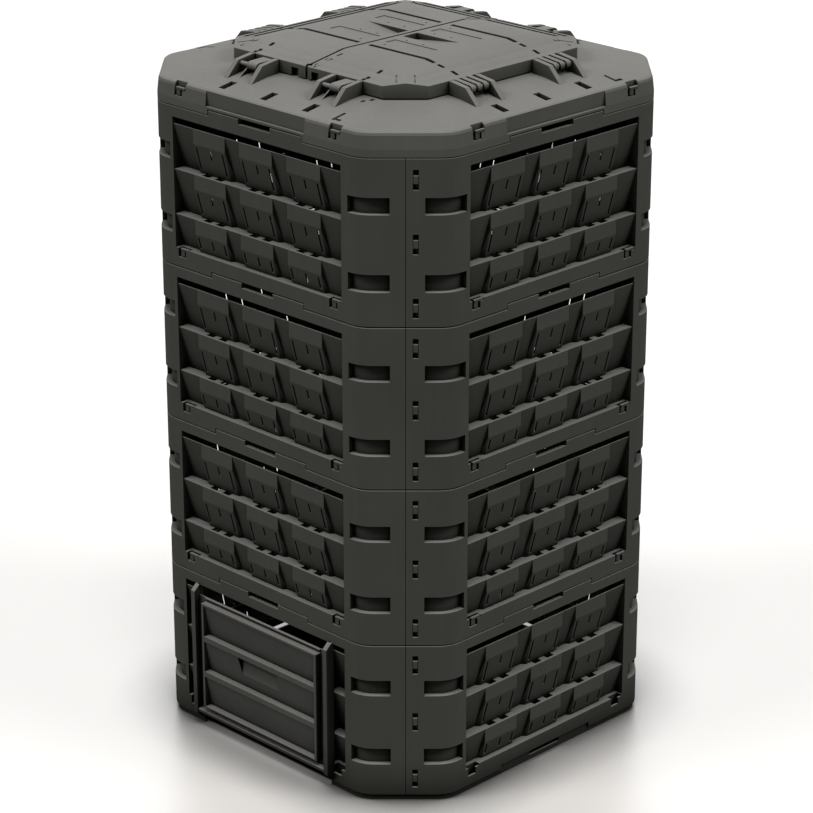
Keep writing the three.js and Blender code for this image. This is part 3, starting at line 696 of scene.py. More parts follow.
def tongue(level, sizes):
    """A snap tongue, with the bar and the fin that show in the neighbour's window."""
    behind = sizes.wall + FIT_GAP
    levels = around(level, TONGUE_HALF_HEIGHT)
    blade = corner_band((-TONGUE_TIP, TONGUE_ROOT), (behind, behind + TONGUE_WALL), levels)
    root = corner_band((TONGUE_ROOT / 2, TONGUE_ROOT), (sizes.wall / 2, behind + TONGUE_WALL), levels)
    bar_span = (-CLIP_END + BAR_INSET, -CLIP_START - BAR_INSET)
    bar = corner_band(bar_span, (BAR_FACE, behind + OVERRUN), levels, edge=BAR_INSET)
    high, low = levels[0] + OVERRUN, level - CLIP_HALF_HEIGHT + FIN_INSET
    near, far, near_back, far_back = (
        corner_point(distance, depth)
        for depth in (FIN_DEPTH, behind + FIN_INSET) for distance in (-CLIP_START - FIN_INSET, -CLIP_END)
    )
    fin = hull([*at([near, far, near_back, far_back], high), *at([far, far_back], low)])
    return fused(blade, [root, bar, fin])


def tongues(sizes):
    """The lap behind the seam, and the snap tongues on it."""
    behind = sizes.wall + FIT_GAP
    lower = SPIGOT_FACE + SPIGOT_WALL
    spigot_levels = (-SPIGOT_DEPTH, LAP_ENDS[0])
    return [
        corner_band((-LAP_REACH, TONGUE_ROOT), (behind, behind + LAP_WALL), LAP_ENDS),
        corner_band((-LAP_REACH, TONGUE_ROOT), (lower + FIT_GAP, lower + LAP_WALL), spigot_levels),
        corner_band((SEAM_GAP, TONGUE_ROOT), around(lower, OVERRUN), spigot_levels),
        *(tongue(level, sizes) for level in CLIP_LEVELS),
    ]


def clip_windows(sizes):
    """The windows at the left-hand end that the neighbour's tongues snap into."""
    depths = (-OVERRUN, sizes.wall + OVERRUN)
    return [
        moved_across(corner_band((CLIP_START, CLIP_END), depths, around(level, CLIP_HALF_HEIGHT)))
        for level in CLIP_LEVELS
    ]


def hook(place):
    """A hook: a root and a back leg behind the wall, a stem in the notch, and the bar over it."""
    across, back = shifted(HOOK_STEM, place), HOOK_BACK[0]
    low, neck = PITCH - HOOK_LEG, PITCH + HOOK_LEVEL
    leg = front_block(across, HOOK_BACK, (low, neck))
    root = front_block(across, (HOOK_ROOT_DEPTH, HOOK_BACK[1]), (low, PITCH - HOOK_ROOT))
    stem_levels = (PITCH + HOOK_FOOT + STEM_RISE, neck + OVERRUN)
    stem = front_block(across, (HOOK_FRONT + STEM_INSET, back + OVERRUN), stem_levels, FINE_EDGE)
    bar_levels = (neck, PITCH + HOOK_TOP)
    bar = front_block(shifted(HOOK_BAR, place), (HOOK_FRONT, HOOK_REACH), bar_levels, FINE_EDGE)
    return fused(leg, [root, stem, bar])


def hook_cuts(top):
    """At each hook of the tier below, the two slots beside its stem and the wider notch around its bar."""
    depths = (-OVERRUN, HOOK_BACK[1] + FIT_GAP)
    cuts = []
    for place in HOOK_PLACES:
        cuts.append(front_block(shifted(HOOK_SLOTS, place), depths, (HOOK_FOOT, HOOK_LEVEL + OVERRUN)))
        cuts.append(front_block(shifted(HOOK_NOTCH, place), depths, (HOOK_LEVEL, top)))
    return cuts


def hook_shields(levels):
    """A plate behind each notch, so that it doesn't open into the bin."""
    low, high = HOOK_NOTCH
    width = (low - SHIELD_MARGIN, high + SHIELD_MARGIN)
    return [front_block(shifted(width, place), HOOK_SHIELD, levels) for place in HOOK_PLACES]


def panel(sizes):
    """A louvred wall panel on the workbench: its foot at z = 0 and its face towards -Y."""
    through = (-OVERRUN, sizes.wall + OVERRUN)
    shell = panel_band((0, sizes.wall), (JOINT_GAP, PITCH), sizes.edge)
    tab_top = PITCH + TAB_RISE
    tab = front_block(around(0, TAB_HALF), (0, sizes.wall), (PITCH - TAB_ROOT, tab_top), sizes.edge)
    slot = front_block(around(0, TAB_SLOT_HALF), through, (PITCH, tab_top + OVERRUN))
    opening = front_block(around(0, WINDOW_HALF), through, (SILL, WINDOW_TOP))
    housings, spaces = grips(sizes)
    whole = carved(fused(shell, [tab]), [slot, opening])
    whole = fused(whole, [*spigot(sizes), louvres(sizes), *housings])
    whole = carved(whole, [*tab_room(), *spaces, *clip_windows(sizes), *hook_cuts(SILL + mm(3))])
    shields = hook_shields((SPIGOT_ROOT - mm(6), SILL))
    return fused(whole, [*shields, *tongues(sizes), *(hook(place) for place in HOOK_PLACES)])


def hatch_panel(sizes):
    """The lowest front panel: the middle of its window is open, between two rails joined by a sill."""
    face, groove, seat = -DOOR_PROUD, -GROOVE_DEPTH, RAIL_SEAT
    low, high = RAIL_BOTTOM - RAIL_SLOPE, RAIL_TOP + RAIL_SLOPE
    outline = [
        (face, RAIL_BOTTOM), (groove, low), (seat, low), (seat, high), (groove, high), (face, RAIL_TOP),
    ]
    rail = along_x(outline, (RAIL_INNER, RAIL_OUTER), edge=sizes.edge)
    run_span, run_levels = (RAIL_INNER - OVERRUN, RAIL_OUTER - RAIL_WEB), (SILL_BAR[1], high + RAIL_SLOPE)
    run = front_block(run_span, (groove, 0), run_levels)
    opening_levels = (-SPIGOT_DEPTH - OVERRUN, WINDOW_TOP)
    opening = front_block(around(0, RAIL_INNER), (-OVERRUN, sizes.ledge_depth + mm(8)), opening_levels)
    sill_width = around(0, RAIL_OUTER - mm(1))
    sill = front_block(sill_width, (face + SILL_SETBACK, seat), SILL_BAR, sizes.edge)
    beside = both_sides([carved(rail, [run]), cheek(RAIL_INNER, sizes)])
    whole = fused(carved(panel(sizes), [opening]), beside)
    return fused(whole, [sill])


def door(sizes, edge):
    """The hatch door: three bays whose floors slope back to a bright ledge, and flanges in the rails."""
    face, floor = -DOOR_PROUD, -FIT_GAP - DOOR_SHEET
    crest = DOOR_TOP + DOOR_FLANGE_RISE
    flange_width, width = around(0, DOOR_FLANGE_HALF), around(0, DOOR_HALF)
    flange = front_block(flange_width, (floor, -FIT_GAP), (DOOR_BOTTOM, crest), DOOR_SHEET_EDGE)
    lip_depths = (floor - DOOR_LIP_REACH, floor + OVERRUN)
    lip = front_block(width, lip_depths, (crest - DOOR_LIP, crest), DOOR_SHEET_EDGE)
    body = front_block(width, (face, floor + OVERRUN), (DOOR_FOOT, DOOR_TOP), edge)
    pitch = (DOOR_TOP - DOOR_TOP_RAIL - DOOR_LEDGE + sizes.rib) / DOOR_BAYS
    height = pitch - sizes.rib
    front, bay_top = face - OVERRUN, face + sizes.bay_top_depth
    cuts = []
    for bay in range(DOOR_BAYS):
        foot = DOOR_LEDGE + bay * pitch
        outline = [(front, foot), (floor, foot), (bay_top, foot + height), (front, foot + height)]
        cuts.append(along_x(outline, around(0, DOOR_HALF - sizes.side_wall)))
    # The pocket is cut into the top of the middle bay
    high = DOOR_LEDGE + 2 * pitch - sizes.rib
    low = high - POCKET_HEIGHT
    shallow = floor + (bay_top - floor) * (1 - POCKET_HEIGHT / height)
    left, right = POCKET_ENDS
    corners = [
        (left, face, high), (right, face, high),
        (left, face + sizes.pocket_depth, high), (right, face + sizes.pocket_depth, high),
        (left + POCKET_SLANT, face, low), (right, face, low),
        (left + POCKET_SLANT, shallow, low), (right, shallow, low),
    ]
    pocket = hull([(x, depth - HALF, z) for x, depth, z in corners])
    return carved(fused(flange, [lip, body]), [*cuts, pocket])


def roof_height(reach):
    """Height of the rim's roof over the lid level, at a distance from the axis square to a side."""
    if reach > ROOF_BREAK_HALF:
        share = (HALF - reach) / (HALF - ROOF_BREAK_HALF)
        return SKIRT_HEIGHT + share * (ROOF_BREAK_HEIGHT - SKIRT_HEIGHT)
    share = (ROOF_BREAK_HALF - reach) / (ROOF_BREAK_HALF - MOUTH_HALF)
    return ROOF_BREAK_HEIGHT + share * (ROOF_CREST - ROOF_BREAK_HEIGHT)


def octagon_leg(reach):
    """Leg of the platform's corner cut at another reach, so that its corner faces keep one distance."""
    return PLATFORM_CUT - (2 - DIAGONAL) * (PLATFORM_HALF - reach)


def lid_octagon(reach):
    return octagon(reach, octagon_leg(reach))


def roof_shell():
    """The rim's skirt and roof as a hollow shell."""
    break_line = octagon(ROOF_BREAK_HALF, PLATFORM_CUT + ROOF_BREAK_HALF - PLATFORM_HALF)
    mouth = lid_octagon(MOUTH_HALF)
    outer = hull([
        *at(ring(0), JOINT_GAP), *at(ring(0), SKIRT_BAND),
        *(point for depth, z in SKIRT_SHOULDER for point in at(ring(depth), z)),
        *at(break_line, ROOF_BREAK_HEIGHT), *at(mouth, ROOF_CREST),
    ])
    inner = hull([
        *at(ring(RIM_WALL), -OVERRUN), *at(ring(RIM_WALL), SKIRT_HEIGHT - RIM_SHEET - mm(0.5)),
        *at(break_line, ROOF_BREAK_HEIGHT - RIM_SHEET), *at(mouth, ROOF_CREST - RIM_SHEET),
    ])
    return carved(outer, [inner, upright(mouth, (-OVERRUN, LEAF_TOP))])


def ear_outline(inner_height, setback=0.0):
    """A hinge ear in depth and height, from the platform's edge out to its tip on the roof."""
    inner = HALF - PLATFORM_HALF - EAR_SEAT
    knee, tip = HALF - EAR_KNEE + setback, HALF - EAR_TIP + setback
    tip_height = roof_height(HALF - tip)
    return [
        (inner, ROOF_BREAK_HEIGHT - EAR_SEAT), (inner, inner_height),
        (inner - EAR_SHOULDER, inner_height + mm(0.5)), (knee, min(inner_height, EAR_KNEE_HEIGHT)),
        (tip, tip_height), (tip + EAR_SEAT, tip_height - EAR_SEAT),
    ]


def hinge_seat(centre, has_block):
    """Two ears, the pin between them, and where no leaf hangs on it a rounded block and a thin web."""
    ears = [
        along_x(ear_outline(EAR_TOP), around(centre + side * EAR_SPACING / 2, EAR_WALL / 2), edge=HINGE_EDGE)
        for side in (-1, 1)
    ]
    pin_depth = HALF - HINGE_REACH
    pin_centre = (pin_depth, HINGE_HEIGHT)
    pieces = [ears[1], barrel(around(centre, EAR_SPACING / 2), pin_centre, PIN_RADIUS)]
    if has_block:
        web, width = around(centre + WEB_PLACE, WEB_HALF), around(centre + KNUCKLE_PLACE, KNUCKLE_HALF)
        pieces.append(along_x(ear_outline(HINGE_HEIGHT, setback=WEB_SETBACK), web))
        pieces.append(barrel(width, pin_centre, KNUCKLE_RADIUS))
        wall_depth = HALF - PLATFORM_HALF - EAR_SEAT
        high, low = shifted(KNUCKLE_ROOT, HINGE_HEIGHT)
        pieces.append(along_x([
            (pin_depth, HINGE_HEIGHT + KNUCKLE_RADIUS), (wall_depth, high),
            (wall_depth, low), (pin_depth, HINGE_HEIGHT - KNUCKLE_RADIUS),
        ], width))
    return fused(ears[0], pieces)


def vent(centre):
    """The housing under a vent, and the cut whose floor rises inwards."""
    inner, outer = (HALF - reach for reach in VENT_SPAN)
    inner_top, outer_top = (roof_height(reach) for reach in VENT_SPAN)
    wall = VENT_WALL
    housing = [
        (outer - wall, outer_top - OVERRUN), (outer - wall, outer_top - VENT_DEPTH - wall),
        (inner + wall, inner_top - VENT_STEP - wall), (inner + wall, inner_top - OVERRUN),
    ]
    cut = [
        (outer, outer_top + VENT_CUT_RISE), (outer, outer_top - VENT_DEPTH), (inner, inner_top - VENT_STEP),
        (inner, inner_top + VENT_CUT_RISE),
    ]
    half = VENT_HALF_WIDTH
    return along_x(housing, around(centre, half + wall)), along_x(cut, around(centre, half))


def roof_mark(x, reach):
    """A shallow cut in the front side of the roof, between bounds in x and in distance from the axis."""
    near, far = reach
    levels = (min(roof_height(near), roof_height(far)) - ROOF_MARK_DEPTH, ROOF_CREST + ROOF_MARK_DEPTH)
    return block(x, (-far, -near), levels)


def rim():
    """The lid rim on the workbench: skirt, roof, collar, ears, vents and snap marks."""
    collar_outline = lid_octagon(MOUTH_HALF + COLLAR_WALL)
    shell = roof_shell()
    mouth = upright(lid_octagon(MOUTH_HALF), (0, LEAF_TOP))
    collar = carved(upright(collar_outline, (ROOF_CREST - RIM_SHEET, COLLAR_TOP)), [mouth])
    bore = upright(ring(SPIGOT_FACE + SPIGOT_WALL), (-SPIGOT_DEPTH - OVERRUN, SPIGOT_ROOT + OVERRUN))
    plug = carved(upright(ring(SPIGOT_FACE), (-SPIGOT_DEPTH, SPIGOT_ROOT)), [bore])
    housings, vent_cuts = zip(*(vent(place) for place in VENT_PLACES))
    shell = fused(shell, [collar, plug, *on_four_sides(housings)])
    upper, lower = RIM_PANEL_RECESS
    crest = SKIRT_HEIGHT + mm(6)
    recess_outline = [(-OVERRUN, RIM_LIP_TOP), (lower, RIM_LIP_TOP), (upper, crest), (-OVERRUN, crest)]
    recess = along_x(recess_outline, around(0, RIM_PANEL_HALF))
    marks = [roof_mark(*bounds) for bounds in ROOF_MARKS]
    cuts = [recess, *tab_room(), *hook_cuts(crest), *vent_cuts, *marks]
    shields = hook_shields((SPIGOT_ROOT, SKIRT_HEIGHT - RIM_SHEET))
    shell = fused(carved(shell, on_four_sides(cuts)), on_four_sides(shields))
    seats = [hinge_seat(side * HINGE_PLACE, has_block=True) for side in (-1, 1)]
    seats += [turned(hinge_seat(side * HINGE_PLACE, has_block=False), 1) for side in (-1, 1)]
    return fused(shell, [*seats, *(turned(copied(seat), 2) for seat in seats)])


def lid_height(x, y):
    """Height of the platform's surface over the lid level."""
    over = max(abs(x), abs(y)) - (PLATFORM_HALF - BORDER)
    return LEAF_TOP - max(0.0, over) * (LEAF_TOP - LEAF_EDGE) / BORDER


def platform(inset, drop, bottom):
    """The hipped platform of both leaves, inset and lowered for its underside."""
    reach, plateau = PLATFORM_HALF - inset, PLATFORM_HALF - BORDER
    edge = lid_octagon(reach)
    middle = reach - octagon_leg(reach) / 2
    return hull([
        *at(edge, bottom), *at(edge, lid_height(reach, 0) - drop),
        *at(quarter_turns([(middle, -middle)]), lid_height(middle, middle) - drop),
        *at(quarter_turns([(plateau, -plateau)]), LEAF_TOP - drop),
    ])


def open_cut(points):
    """A cut from these points up past the top of the leaves."""
    return hull([*points, *((x, y, LEAF_TOP + mm(5)) for x, y, _ in points)])


def lid_cut(corners, depth):
    """A cut that follows the platform's surface at a depth, over corners in plan."""
    return open_cut([(x, y, lid_height(x, y) - depth) for x, y in corners])


def lid_bar(x, y, depth):
    """A cut of one depth between bounds in plan."""
    return lid_cut([(x[0], y[0]), (x[1], y[0]), (x[1], y[1]), (x[0], y[1])], depth)


def on_side(side, span):
    """A span across the leaves, on one side of the middle."""
    return tuple(sorted(side * value for value in span))


def leaf_arm(centre):
    """An arm from the leaf's edge to the pin, with a round eye that is open below."""
    root, low = PLATFORM_HALF - mm(5), LEAF_EDGE - ARM_DROP
    outline = [
        (root, lid_height(root, 0) - mm(1)), (PLATFORM_HALF, LEAF_EDGE),
        (HINGE_REACH, HINGE_HEIGHT + KNUCKLE_RADIUS), (HINGE_REACH, HINGE_HEIGHT - PIN_RADIUS),
        (PLATFORM_HALF, low), (root, low),
    ]
    width, bore_width = around(centre, ARM_WIDTH / 2), around(centre, ARM_WIDTH / 2 + OVERRUN)
    pin_centre = (HALF - HINGE_REACH, HINGE_HEIGHT)
    arm = prism(outline, width, lambda x, z, y: (x, y, z), edge=HINGE_EDGE)
    knuckle = turned(barrel(width, pin_centre, KNUCKLE_RADIUS), 1)
    bore = turned(barrel(bore_width, pin_centre, PIN_RADIUS + PIN_PLAY), 1)
    mouth_levels = (HINGE_HEIGHT - KNUCKLE_RADIUS - OVERRUN, HINGE_HEIGHT)
    mouth = block(around(HINGE_REACH, ARM_MOUTH_HALF), bore_width, mouth_levels)
    return carved(fused(arm, [knuckle]), [bore, mouth])


def leaf_marks(sizes):
    """Grooves, dashes, shallow fields, small dots, slits and border steps in the right-hand leaf."""
    cuts = []
    for side in (-1, 1):
        groove = around(side * GROOVE_PLACE, GROOVE_HALF)
        dash = around(side * GROOVE_PLACE, DASH_HALF)
        bars = [*((span, groove) for span in GROOVES), *((span, dash) for span in DASHES_ALONG)]
        bars += [(around(CROSS_DASH_PLACE, DASH_HALF), on_side(side, span)) for span in DASHES_ACROSS]
        cuts += [lid_bar(x, y, sizes.groove_depth) for x, y in bars]
        cuts.append(lid_bar(FIELD_ALONG, on_side(side, FIELD_ACROSS), FIELD_DEPTH))
        cuts += [lid_bar(around(x, DOT_HALF), around(side * y, DOT_HALF), DOT_DEPTH) for x, y in DOTS]
        for place in SLIT_PLACES:
            (start, end), (low, high) = CORNER_SLITS, around(place, SLIT_HALF)
            ends = [(start, low), (end, low), (end, high), (start, high)]
            slit = [((out + off) / DIAGONAL, side * (out - off) / DIAGONAL) for out, off in ends]
            cuts.append(lid_cut(slit, SLIT_DEPTH))
    for start, end in BORDER_STEPS:
        edges = [(start, 0.0), (end, STEP_DEPTH)]
        cuts.append(open_cut([
            (x, y, lid_height(x, y) - drop) for x, drop in edges for y in (-STEP_REACH, STEP_REACH)
        ]))
        cuts += [
            open_cut([
                (x, side * y, lid_height(x, y) - drop) for y, drop in edges for x in (STEP_START, STEP_REACH)
            ])
            for side in (-1, 1)
        ]
    return [*cuts, *(lid_bar(NICK_SPAN, around(place, NICK_HALF), NICK_DEPTH) for place in SEAM_NICKS)]


def pull(depth, grow=0.0, drop=0.0):
    """The finger recess of a leaf, which slopes down towards the seam, or its housing grown around it."""
    width = around(0, PULL_HALF + grow)
    root = [(PULL_ROOT - grow, y) for y in width]
    tip = [(PULL_TIP + grow, y) for y in width]
    mouth = at([*root, *tip], LEAF_TOP + mm(4))
    return hull([*at(root, LEAF_TOP - depth - drop), *at(tip, LEAF_TOP - drop), *mouth])


def leaf_ribs(sizes, inner_edge, inside):
    """The ribs under a leaf, and the thicker places that back its grooves and dashes."""
    levels = (LEAF_EDGE - RIB_DEPTH, LEAF_TOP - sizes.sheet + RIB_OVERLAP)
    backing_levels = (LEAF_EDGE - BACKING_DEPTH, LEAF_TOP)
    ribs = [block((inner_edge, inside), around(place, RIB_HALF), levels) for place in RIB_PLACES]
    ribs.append(block(around(CROSS_RIB_PLACE, RIB_HALF), around(0, inside - CROSS_RIB_INSET), levels))
    across = around(CROSS_DASH_PLACE, DASH_HALF + BACKING_MARGIN)
    for side in (-1, 1):
        along = around(side * GROOVE_PLACE, GROOVE_HALF + BACKING_MARGIN)
        ribs.append(block((inner_edge, inside - BACKING_INSET), along, backing_levels))
        ribs.append(block(across, on_side(side, (BACKING_START, inside - OVERRUN)), backing_levels))
    return [shared(rib, platform(mm(1.5), mm(1), 0)) for rib in ribs]


def leaf(sizes):
    """The leaf on the right of the seam, on the workbench."""
    reach = PLATFORM_HALF + OVERRUN
    inside, inner_edge = PLATFORM_HALF - sizes.sheet, SEAM_HALF + sizes.sheet

    def beside(edge):
        return block((edge, reach), (-reach, reach), (0, LEAF_TOP + mm(20)))

    whole = softened(platform(0, 0, SKIRT_BOTTOM), sizes.edge, angle=25)
    whole = shared(whole, softened(beside(SEAM_HALF), FINE_EDGE))
    hollow = shared(platform(sizes.sheet, sizes.sheet, 0), beside(inner_edge))
    seam_levels = (0, LEAF_TOP - sizes.sheet - SEAM_SPACE_DROP)
    seam_space = block((0, inner_edge + OVERRUN), (-inside, inside), seam_levels)
    whole = carved(whole, [hollow, seam_space])
    housing = shared(pull(sizes.pull_depth, sizes.sheet, sizes.sheet), platform(mm(1), mm(0.8), 0))
    whole = fused(whole, [*leaf_ribs(sizes, inner_edge, inside), housing])
    drain_levels = (SKIRT_BOTTOM - OVERRUN, SKIRT_BOTTOM + DRAIN_HEIGHT)
    drains = [
        block(around(place, DRAIN_HALF), on_side(end, (inside - OVERRUN, reach)), drain_levels)
        for place, end in DRAIN_PLACES
    ]
    whole = carved(whole, [pull(sizes.pull_depth), *drains, *leaf_marks(sizes)])
    return fused(whole, [leaf_arm(side * HINGE_PLACE + place) for side in (-1, 1) for place in ARM_PLACES])


def add_node(tree, kind, settings=None, output=0):
    """Adds a shader node with its settings and links, and gives one of its outputs back.

    A setting is a property of the node, or an input's value or the output that it is linked from.
    """
    node = tree.nodes.new(f"ShaderNode{kind}")
    for key, value in (settings or {}).items():
        if isinstance(value, bpy.types.NodeSocket):
            tree.links.new(value, node.inputs[key])
        elif isinstance(key, str) and hasattr(node, key):
            setattr(node, key, value)
        else:
            node.inputs[key].default_value = value
    return node.outputs[output] if node.outputs else None


def cleared_tree(owner):
    """The empty node tree of a new material or world."""
    owner.use_nodes = True
    owner.node_tree.nodes.clear()
    return owner.node_tree


def moulded_plastic(name, colour, looks, painted_shade):
    """Recycled polypropylene, injection moulded in an etched tool: a matt, faintly mottled dark skin.

    The etching gives a soft sheen with no sharp highlight. Recycled stock varies a little in tone from
    place to place, and its flow leaves faint vertical streaks.
    """
    material = bpy.data.materials.new(name)
    tree = cleared_tree(material)
    place = add_node(tree, "TexCoord", output="Object")
    # The real etching is about 0.3 mm; it is drawn coarser so that it shows at all
    etching = add_node(tree, "TexNoise", {"Vector": place, "Scale": 1 / looks.grain, "Detail": 3.0})
    # Tone of the recycled stock, in patches of about 150 mm, and streaks of its flow 12 mm wide
    patches = add_node(tree, "TexNoise", {"Vector": place, "Scale": 1 / PATCH_SIZE, "Detail": 2.0})
    stretch = add_node(tree, "Mapping", {"Vector": place, "Scale": (1, 1, STREAK_STRETCH)})
    streaks = add_node(tree, "TexNoise", {"Vector": stretch, "Scale": 1 / STREAK_WIDTH, "Detail": 2.0})
    mottle = add_node(tree, "Mix", {"data_type": "FLOAT", "Factor": STREAK_SHARE, "A": patches, "B": streaks})
    tone = add_node(tree, "MapRange", {
        "Value": mottle, **NOISE_SPAN, "To Min": 1 - TONE_SWING, "To Max": 1 + TONE_SWING,
    })
    # Painted top light: faces that look up are made paler, standing in for the light that falls on them from
    # above
    heading = add_node(tree, "TexCoord", output="Normal")
    lean = add_node(tree, "SeparateXYZ", {"Vector": heading}, output="Z")
    painted_top_light = add_node(tree, "MapRange", {"interpolation_type": "SMOOTHSTEP", "Value": lean, **PAINTED_TOP_LIGHT_SPAN})
    pale = add_node(tree, "Mix", {
        "data_type": "RGBA", 0: painted_top_light, 6: (*colour, 1), 7: (*looks.painted_top_light_colour, 1),
    }, output=2)
    shade = add_node(tree, "VectorMath", {"operation": "SCALE", "Vector": pale, "Scale": tone})
    # Painted shade: colour and specular are darkened where ambient occlusion finds the skin shut in, in
    # recesses and on the inside; faces that look up are spared most of it
    openness = add_node(tree, "AmbientOcclusion", {"samples": 4, "Distance": looks.painted_shade_reach}, output="AO")
    open_air = add_node(tree, "Mix", {"data_type": "FLOAT", "Factor": painted_top_light, "A": painted_shade, "B": UPWARD_PAINTED_SHADE})
    shut_in = add_node(tree, "Math", {"operation": "MULTIPLY", 0: open_air, 1: SHUT_IN_SHARE})
    free = add_node(tree, "MapRange", {
        "Value": openness, "From Min": shut_in, "From Max": open_air, "To Min": PAINTED_SHADE_TONE, "To Max": 1.0,
    })
    skin_tone = add_node(tree, "VectorMath", {"operation": "SCALE", "Vector": shade, "Scale": free})
    sheen = add_node(tree, "Math", {"operation": "MULTIPLY", 0: free, 1: SPECULAR})
    gloss = add_node(tree, "MapRange", {
        "Value": etching, **NOISE_SPAN,
        "To Min": looks.roughness - SMOOTHER, "To Max": looks.roughness + ROUGHER,
    })
    relief = {"Height": etching, "Strength": ETCHING_STRENGTH, "Distance": ETCHING_RELIEF}
    bump = add_node(tree, "Bump", relief)
    skin = add_node(tree, "BsdfPrincipled", {
        "IOR": 1.5, "Base Color": skin_tone, "Roughness": gloss, "Specular IOR Level": sheen, "Normal": bump,
    })
    add_node(tree, "OutputMaterial", {"Surface": skin})
    return material


def finished(piece, kind, node, body):
    """Gives a piece its plastic, which is made once, hides the packed part that it stands for, and hangs it
    from the body that it moves with.
    """
    looks = bpy.context.scene.bin_plastics
    name, colour, painted_shade = {
        "panel": ("matt_recycled_polypropylene", looks.panel_colour, looks.wall_painted_shade),
        "door": ("matt_recycled_polypropylene_door", looks.door_colour, looks.wall_painted_shade),
        "lid": ("matt_recycled_polypropylene_lid", looks.lid_colour, looks.lid_painted_shade),
    }[kind]
    material = bpy.data.materials.get(name) or moulded_plastic(name, colour, looks, painted_shade)
    piece.data.materials.clear()
    piece.data.materials.append(material)
    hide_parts(node)
    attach(piece, body)


class BIN_OT_panels(bpy.types.Operator):
    """Model one louvred panel and stand fifteen copies of it in the four tiers"""

    bl_idname = "compost_bin.panels"
    bl_label = "Wall Panels"

    def execute(self, context):
        master = panel(context.scene.bin_panels)
        for tier in range(round(LID_LEVEL / PITCH)):
            for side, side_name in enumerate(SIDES):
                if tier > 0 or side > 0:
                    name = f"louvred_wall_{tier + 1}_{side_name}"
                    piece = placed(copied(master), name, tier * PITCH, side)
                    finished(piece, "panel", f"tier{tier + 1}_panel_{side_name}", "bin_body")
        cleared(master)
        return {"FINISHED"}


class BIN_OT_hatch_frame(bpy.types.Operator):
    """Model the lowest front panel with the rails and sill of the hatch"""

    bl_idname = "compost_bin.hatch_frame"
    bl_label = "Hatch Panel"

    def execute(self, context):
        piece = placed(hatch_panel(context.scene.bin_panels), "hatch_wall")
        finished(piece, "panel", "tier1_panel_front", "bin_body")
        return {"FINISHED"}


class BIN_OT_door(bpy.types.Operator):
    """Model the hatch door with its sloping bays and finger pocket"""

    bl_idname = "compost_bin.door"
    bl_label = "Hatch Door"

    def execute(self, context):
        piece = placed(door(context.scene.bin_hatch, context.scene.bin_panels.edge), "sliding_door")
        finished(piece, "door", "hatch_door", "hatch")
        return {"FINISHED"}


class BIN_OT_rim(bpy.types.Operator):
    """Model the lid rim with its skirt, roof, vents and hinge ears"""

    bl_idname = "compost_bin.rim"
    bl_label = "Lid Rim"

    def execute(self, context):
        piece = placed(rim(), "sloping_rim", LID_LEVEL, crease=RIM_CREASE)
        finished(piece, "lid", "lid_rim", "bin_body")
        return {"FINISHED"}


class BIN_OT_leaves(bpy.types.Operator):
    """Model one leaf of the lid and turn a copy of it for the other side"""

    bl_idname = "compost_bin.leaves"
    bl_label = "Lid Leaves"

    def execute(self, context):
        master = leaf(context.scene.bin_lid)
        other = copied(master)
        for piece, side_name, quarters in ((master, "right", 0), (other, "left", 2)):
            placed(piece, f"lid_flap_{side_name}", LID_LEVEL, quarters)
            finished(piece, "lid", f"lid_leaf_{side_name}", f"leaf_{side_name}")
        return {"FINISHED"}


def floor_material(looks):
    """A pale polished studio floor, which the camera sees as it is and which is dark to all other rays."""
    material = bpy.data.materials.new("polished_studio_floor")
    tree = cleared_tree(material)
    # Painted shade: the ground inside the bin is painted nearly black, where it lies in the bin's shade
    place = add_node(tree, "TexCoord", output="Object")
    offset = add_node(tree, "VectorMath", {"operation": "SUBTRACT", "Vector": place, 1: (0, AXIS_Y, 0)})
    reach = add_node(tree, "VectorMath", {"operation": "ABSOLUTE", "Vector": offset})
    parts = add_node(tree, "SeparateXYZ", {"Vector": reach}).node.outputs
    widest = add_node(tree, "Math", {"operation": "MAXIMUM", 0: parts["X"], 1: parts["Y"]})
    cornerwise = add_node(
        tree, "VectorMath", {"operation": "DOT_PRODUCT", "Vector": reach, 1: (1, 1, 0)}, output="Value"
    )
    cut_back = add_node(tree, "Math", {"operation": "SUBTRACT", 0: cornerwise, 1: HALF - CORNER_CUT})
    farthest = add_node(tree, "Math", {"operation": "MAXIMUM", 0: widest, 1: cut_back})
    edge_start, edge_end = (HALF - inset for inset in PAINTED_SHADE_INSIDE_EDGE)
    outside = add_node(tree, "MapRange", {"Value": farthest, "From Min": edge_start, "From Max": edge_end})
    ground = add_node(tree, "Mix", {
        "data_type": "RGBA", 0: outside, 6: (*linear(PAINTED_SHADE_INSIDE), 1), 7: (*looks.floor_colour, 1),
    }, output=2)
    # Soft shadow at the foot of the bin, over about 150 mm
    near = add_node(tree, "AmbientOcclusion", {"samples": 8, "Distance": SHADOW_REACH}, output="AO")
    shadow = add_node(tree, "MapRange", {"Value": near, "From Min": SHADOW_LEVEL, "To Min": 0.0})
    shaded = add_node(tree, "VectorMath", {"operation": "SCALE", "Vector": ground, "Scale": shadow})
    pale = add_node(tree, "BsdfDiffuse", {"Color": shaded})
    shine = add_node(tree, "Math", {"operation": "MULTIPLY", 0: outside, 1: looks.floor_polish})
    polish = add_node(tree, "BsdfGlossy", {"Color": WHITE, "Roughness": POLISH_ROUGHNESS})
    top = add_node(tree, "MixShader", {"Fac": shine, 1: pale, 2: polish})
    dim = add_node(tree, "BsdfDiffuse", {"Color": UNSEEN_FLOOR})
    seen = add_node(tree, "LightPath", output="Is Camera Ray")
    mixed = add_node(tree, "MixShader", {"Fac": seen, 1: dim, 2: top})
    add_node(tree, "OutputMaterial", {"Surface": mixed})
    return material


